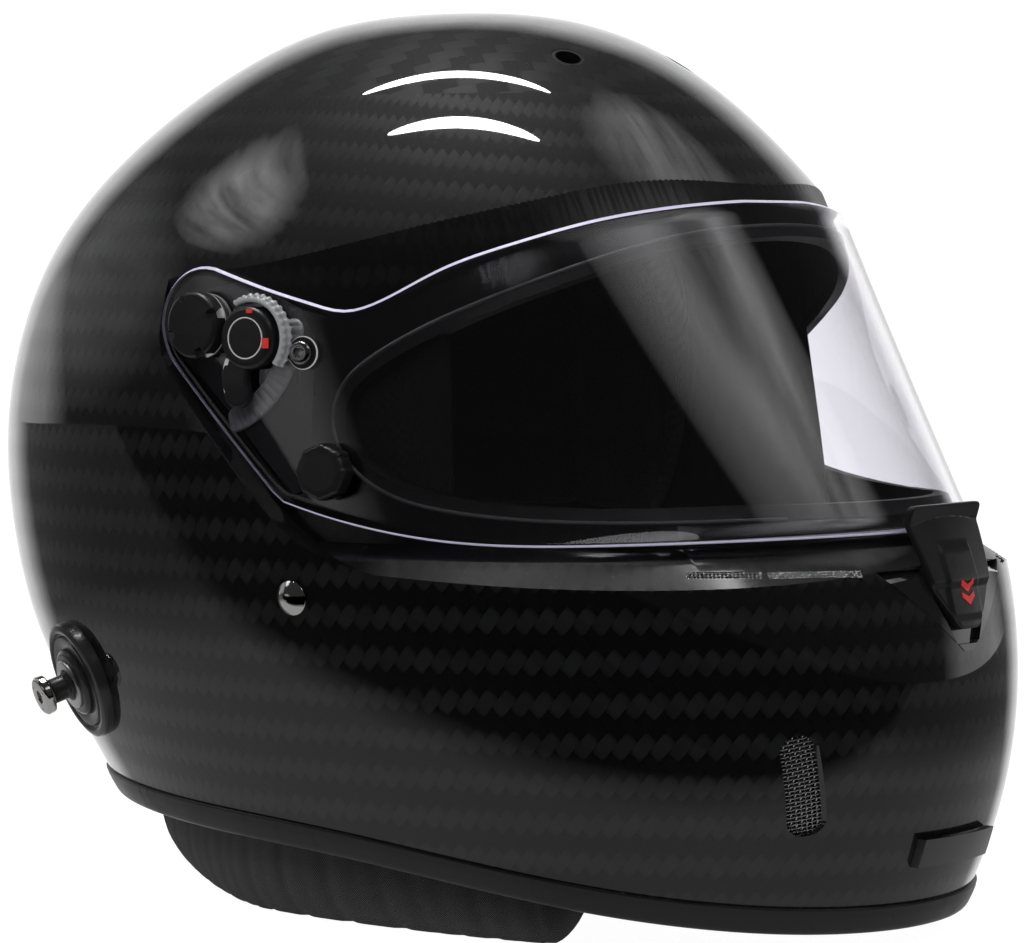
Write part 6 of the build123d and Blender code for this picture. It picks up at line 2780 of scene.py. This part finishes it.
@dataclass(frozen=True)
class Studio:
    """White floor and surround, two overhead strips, a fill, soft panels for reflections, and the camera."""

    eye: tuple = (-0.9473, -0.7816, 0.2032)
    back: tuple = (-0.7726, -0.6324, 0.0558)
    right: tuple = (0.6334, -0.7738, 0.0)
    lens: float = 134.6
    floor_half: float = 6.0
    bright_line: tuple = (-0.138, -0.175, 0.43, -0.9)
    crown: tuple = (-0.058, -0.034, 0.258)
    strips: tuple = (((0.034, 0.575), (0.281, 0.042)), ((-0.196, 0.37), (0.03, -0.08)))
    strip_away: float = 2.0
    strip_stretch: float = 1.12
    strip_wide: float = 0.11
    strip_watts: float = 14.0
    fill_watts: float = 16.0
    dark: float = 0.03
    seen_white: float = 1.2
    floor_white: float = 1.22
    diffuse: float = 0.5
    panels: tuple = (((0.12, -0.64, 0.68), (0.58, 0.17, 0.14), 1.6, 1.3),
                     ((0.48, -0.18, 0.82), (0.34, 0.18, 0.20), 1.2, 1.4),
                     ((-0.30, 0.66, 0.66), (0.25, 0.18, 0.18), 1.8, 1.3),
                     ((-0.87, 0.48, 0.00), (0.30, 0.30, 0.16), 0.55, 0.1),
                     ((0.20, 0.95, 0.00), (0.35, 0.25, 0.25), 1.0, 0.0),
                     ((0.88, -0.42, -0.05), (0.30, 0.42, 0.35), 1.2, 0.0),
                     ((-0.18, 0.93, 0.30), (0.45, 0.25, 0.28), 0.42, 0.2))

    def place_camera(self) -> None:
        """Stands the camera where the picture was taken from."""
        data = bpy.data.cameras.new("camera")
        data.lens, data.sensor_width, data.clip_end = self.lens, 36.0, 50.0
        camera = bpy.data.objects.new("camera", data)
        back, right = Vector(self.back), Vector(self.right)
        up = back.cross(right)
        camera.matrix_world = standing((right, up, back), self.eye)
        bpy.context.scene.collection.objects.link(camera)
        bpy.context.scene.camera = camera
        bpy.context.scene.view_settings.view_transform = "Standard"

    @staticmethod
    def lamp(name: str, middle: Sequence, toward: Sequence, along: Sequence, size: Sequence,
             watts: float, glossy: bool = True) -> None:
        """An elliptical area light at a place, facing another.

        Args:
            name: Its name.
            middle: Where it stands.
            toward: What it faces.
            along: Direction of its first side.
            size: Its two lengths.
            watts: Its strength.
            glossy: It shows in reflections.
        """
        data = bpy.data.lights.new(name, "AREA")
        data.shape, data.size, data.size_y, data.energy = "ELLIPSE", size[0], size[1], watts
        lamp = bpy.data.objects.new(name, data)
        out = (Vector(middle) - Vector(toward)).normalized()
        first = (Vector(along) - Vector(along).dot(out) * out).normalized()
        second = out.cross(first)
        lamp.matrix_world = standing((first, second, out), middle)
        lamp.visible_glossy = glossy
        bpy.context.scene.collection.objects.link(lamp)

    def light(self) -> None:
        """Two strips over the crown, and a fill that no reflection shows."""
        crown = Vector(self.crown)
        for number, ends in enumerate(self.strips):
            a, b = (crown + self.strip_away * Vector((*end, 1.0)) for end in ends)
            size = ((b - a).length * self.strip_stretch, self.strip_wide)
            self.lamp(f"strip_{number}", (a + b) / 2, crown, b - a, size, self.strip_watts)
        self.lamp("fill", (-2.0, -1.2, 2.2), (0, 0, 0.1), (1, -1, 0), (1.6, 1.6), self.fill_watts,
                  glossy=False)

    @staticmethod
    def straight(r: Recipe, path: bpy.types.bpy_prop_collection) -> bpy.types.NodeSocket:
        """One for the camera's own rays, also behind glass, and nothing after any bounce.

        Args:
            r: The tree's recipe.
            path: Outputs of the light path node.

        Returns:
            The value.
        """
        bounced = r.math("ADD", path["Diffuse Depth"], path["Glossy Depth"], clamp=True)
        through = r.math("MULTIPLY", path["Is Transmission Ray"], r.math("SUBTRACT", 1.0, bounced))
        return r.math("MAXIMUM", path["Is Camera Ray"], through)

    def surround(self) -> None:
        """White for the camera; for reflections white behind the helmet, dark before it, and panels."""
        world = bpy.data.worlds.new("surround")
        bpy.context.scene.world = world
        world.use_nodes = True
        r = Recipe(world.node_tree)
        way = r.node("ShaderNodeTexCoord").outputs["Generated"]
        parts = r.parts(way)
        depth = r.math("ADD", r.math("MULTIPLY", parts[0], self.back[0]),
                       r.math("MULTIPLY", parts[1], self.back[1]))
        tone = r.remap(depth, -0.88, -0.74, 1.1, self.dark)
        for centre, reach, strength, streak in self.panels:
            values = {"Way": way, "Centre": centre, "Reach": reach, "Streak": streak}
            panel = Finish.group(r, panel_group(), values)
            tone = r.math("MAXIMUM", tone, r.math("MULTIPLY", panel.outputs[0], strength))
        path = r.node("ShaderNodeLightPath").outputs
        tone = r.math("MULTIPLY", tone, path["Is Glossy Ray"])
        seen = self.straight(r, path)
        lit = r.math("MAXIMUM", r.math("MAXIMUM", r.math("MULTIPLY", seen, self.seen_white), tone),
                     r.math("MULTIPLY", path["Is Diffuse Ray"], self.diffuse))
        shader = r.node("ShaderNodeBackground", {"Color": (1, 1, 1, 1), "Strength": lit})
        r.node("ShaderNodeOutputWorld", {"Surface": shader.outputs[0]})

    def floor(self) -> None:
        """A pale floor: white to the camera, and dark to reflections past a line before the helmet."""
        half = self.floor_half
        points = np.array([(-half, -half, 0), (half, -half, 0), (half, half, 0), (-half, half, 0)]) / METRES
        piece = add_mesh("floor", points, [(0, 1, 2, 3)], close=False)
        made = bpy.data.materials.new("floor_pale")
        made.use_nodes = True
        r = Recipe(made.node_tree)
        place = r.parts(r.node("ShaderNodeTexCoord").outputs["Object"])
        x, y, ax, ay = self.bright_line
        size = float(np.hypot(ax, ay))
        away = r.math("ADD", r.math("MULTIPLY", r.math("SUBTRACT", place[0], x), ay / size),
                      r.math("MULTIPLY", r.math("SUBTRACT", place[1], y), -ax / size))
        path = r.node("ShaderNodeLightPath").outputs
        near = r.remap(away, -0.02, 0.02, 1.0, 0.0)
        far = r.vector("LENGTH", {0: r.node("ShaderNodeTexCoord").outputs["Object"]})
        tone = r.math("MULTIPLY", near, r.remap(far.outputs["Value"], 0.30, 0.50, 0.4, 0.10))
        incoming = r.node("ShaderNodeNewGeometry").outputs["Incoming"]
        back = r.vector("DOT_PRODUCT", {0: incoming, 1: self.back}).outputs["Value"]
        tone = r.math("MAXIMUM", tone, r.remap(back, 0.74, 0.88, 0.0, 1.1))
        diffuse = r.node("ShaderNodeBsdfDiffuse", {"Color": (0.9, 0.9, 0.9, 1)})
        glossy = path["Is Glossy Ray"]
        strength = r.math("ADD", r.math("MULTIPLY", glossy, tone),
                          r.math("MULTIPLY", r.math("SUBTRACT", 1.0, glossy), self.floor_white))
        glow = r.node("ShaderNodeEmission", {"Color": (1, 1, 1, 1), "Strength": strength})
        seen = self.straight(r, path)
        share = r.math("MAXIMUM", r.math("MULTIPLY", seen, 0.8), glossy)
        mixed = r.node("ShaderNodeMixShader", {0: share, 1: diffuse.outputs[0], 2: glow.outputs[0]})
        r.node("ShaderNodeOutputMaterial", {"Surface": mixed.outputs[0]})
        piece.data.materials.append(made)

    def build(self) -> None:
        """Makes the camera, lights, surround and floor."""
        self.place_camera()
        self.light()
        self.surround()
        self.floor()


def main() -> None:
    """Builds the studio and every piece in order, and reports each one."""
    logging.basicConfig(level=logging.INFO, format="%(message)s")
    Studio().build()
    for node, look in KEPT.items():
        dress(bpy.data.objects[node], look)
    shell = Shell()
    shell.build()
    shell.build_trim()
    Bead().build()
    Visor().build()
    Lining().build()
    Ear().build()
    Anchor().build()
    Latch().build()
    Mesh().build(shell)


if __name__ == "__main__":
    main()
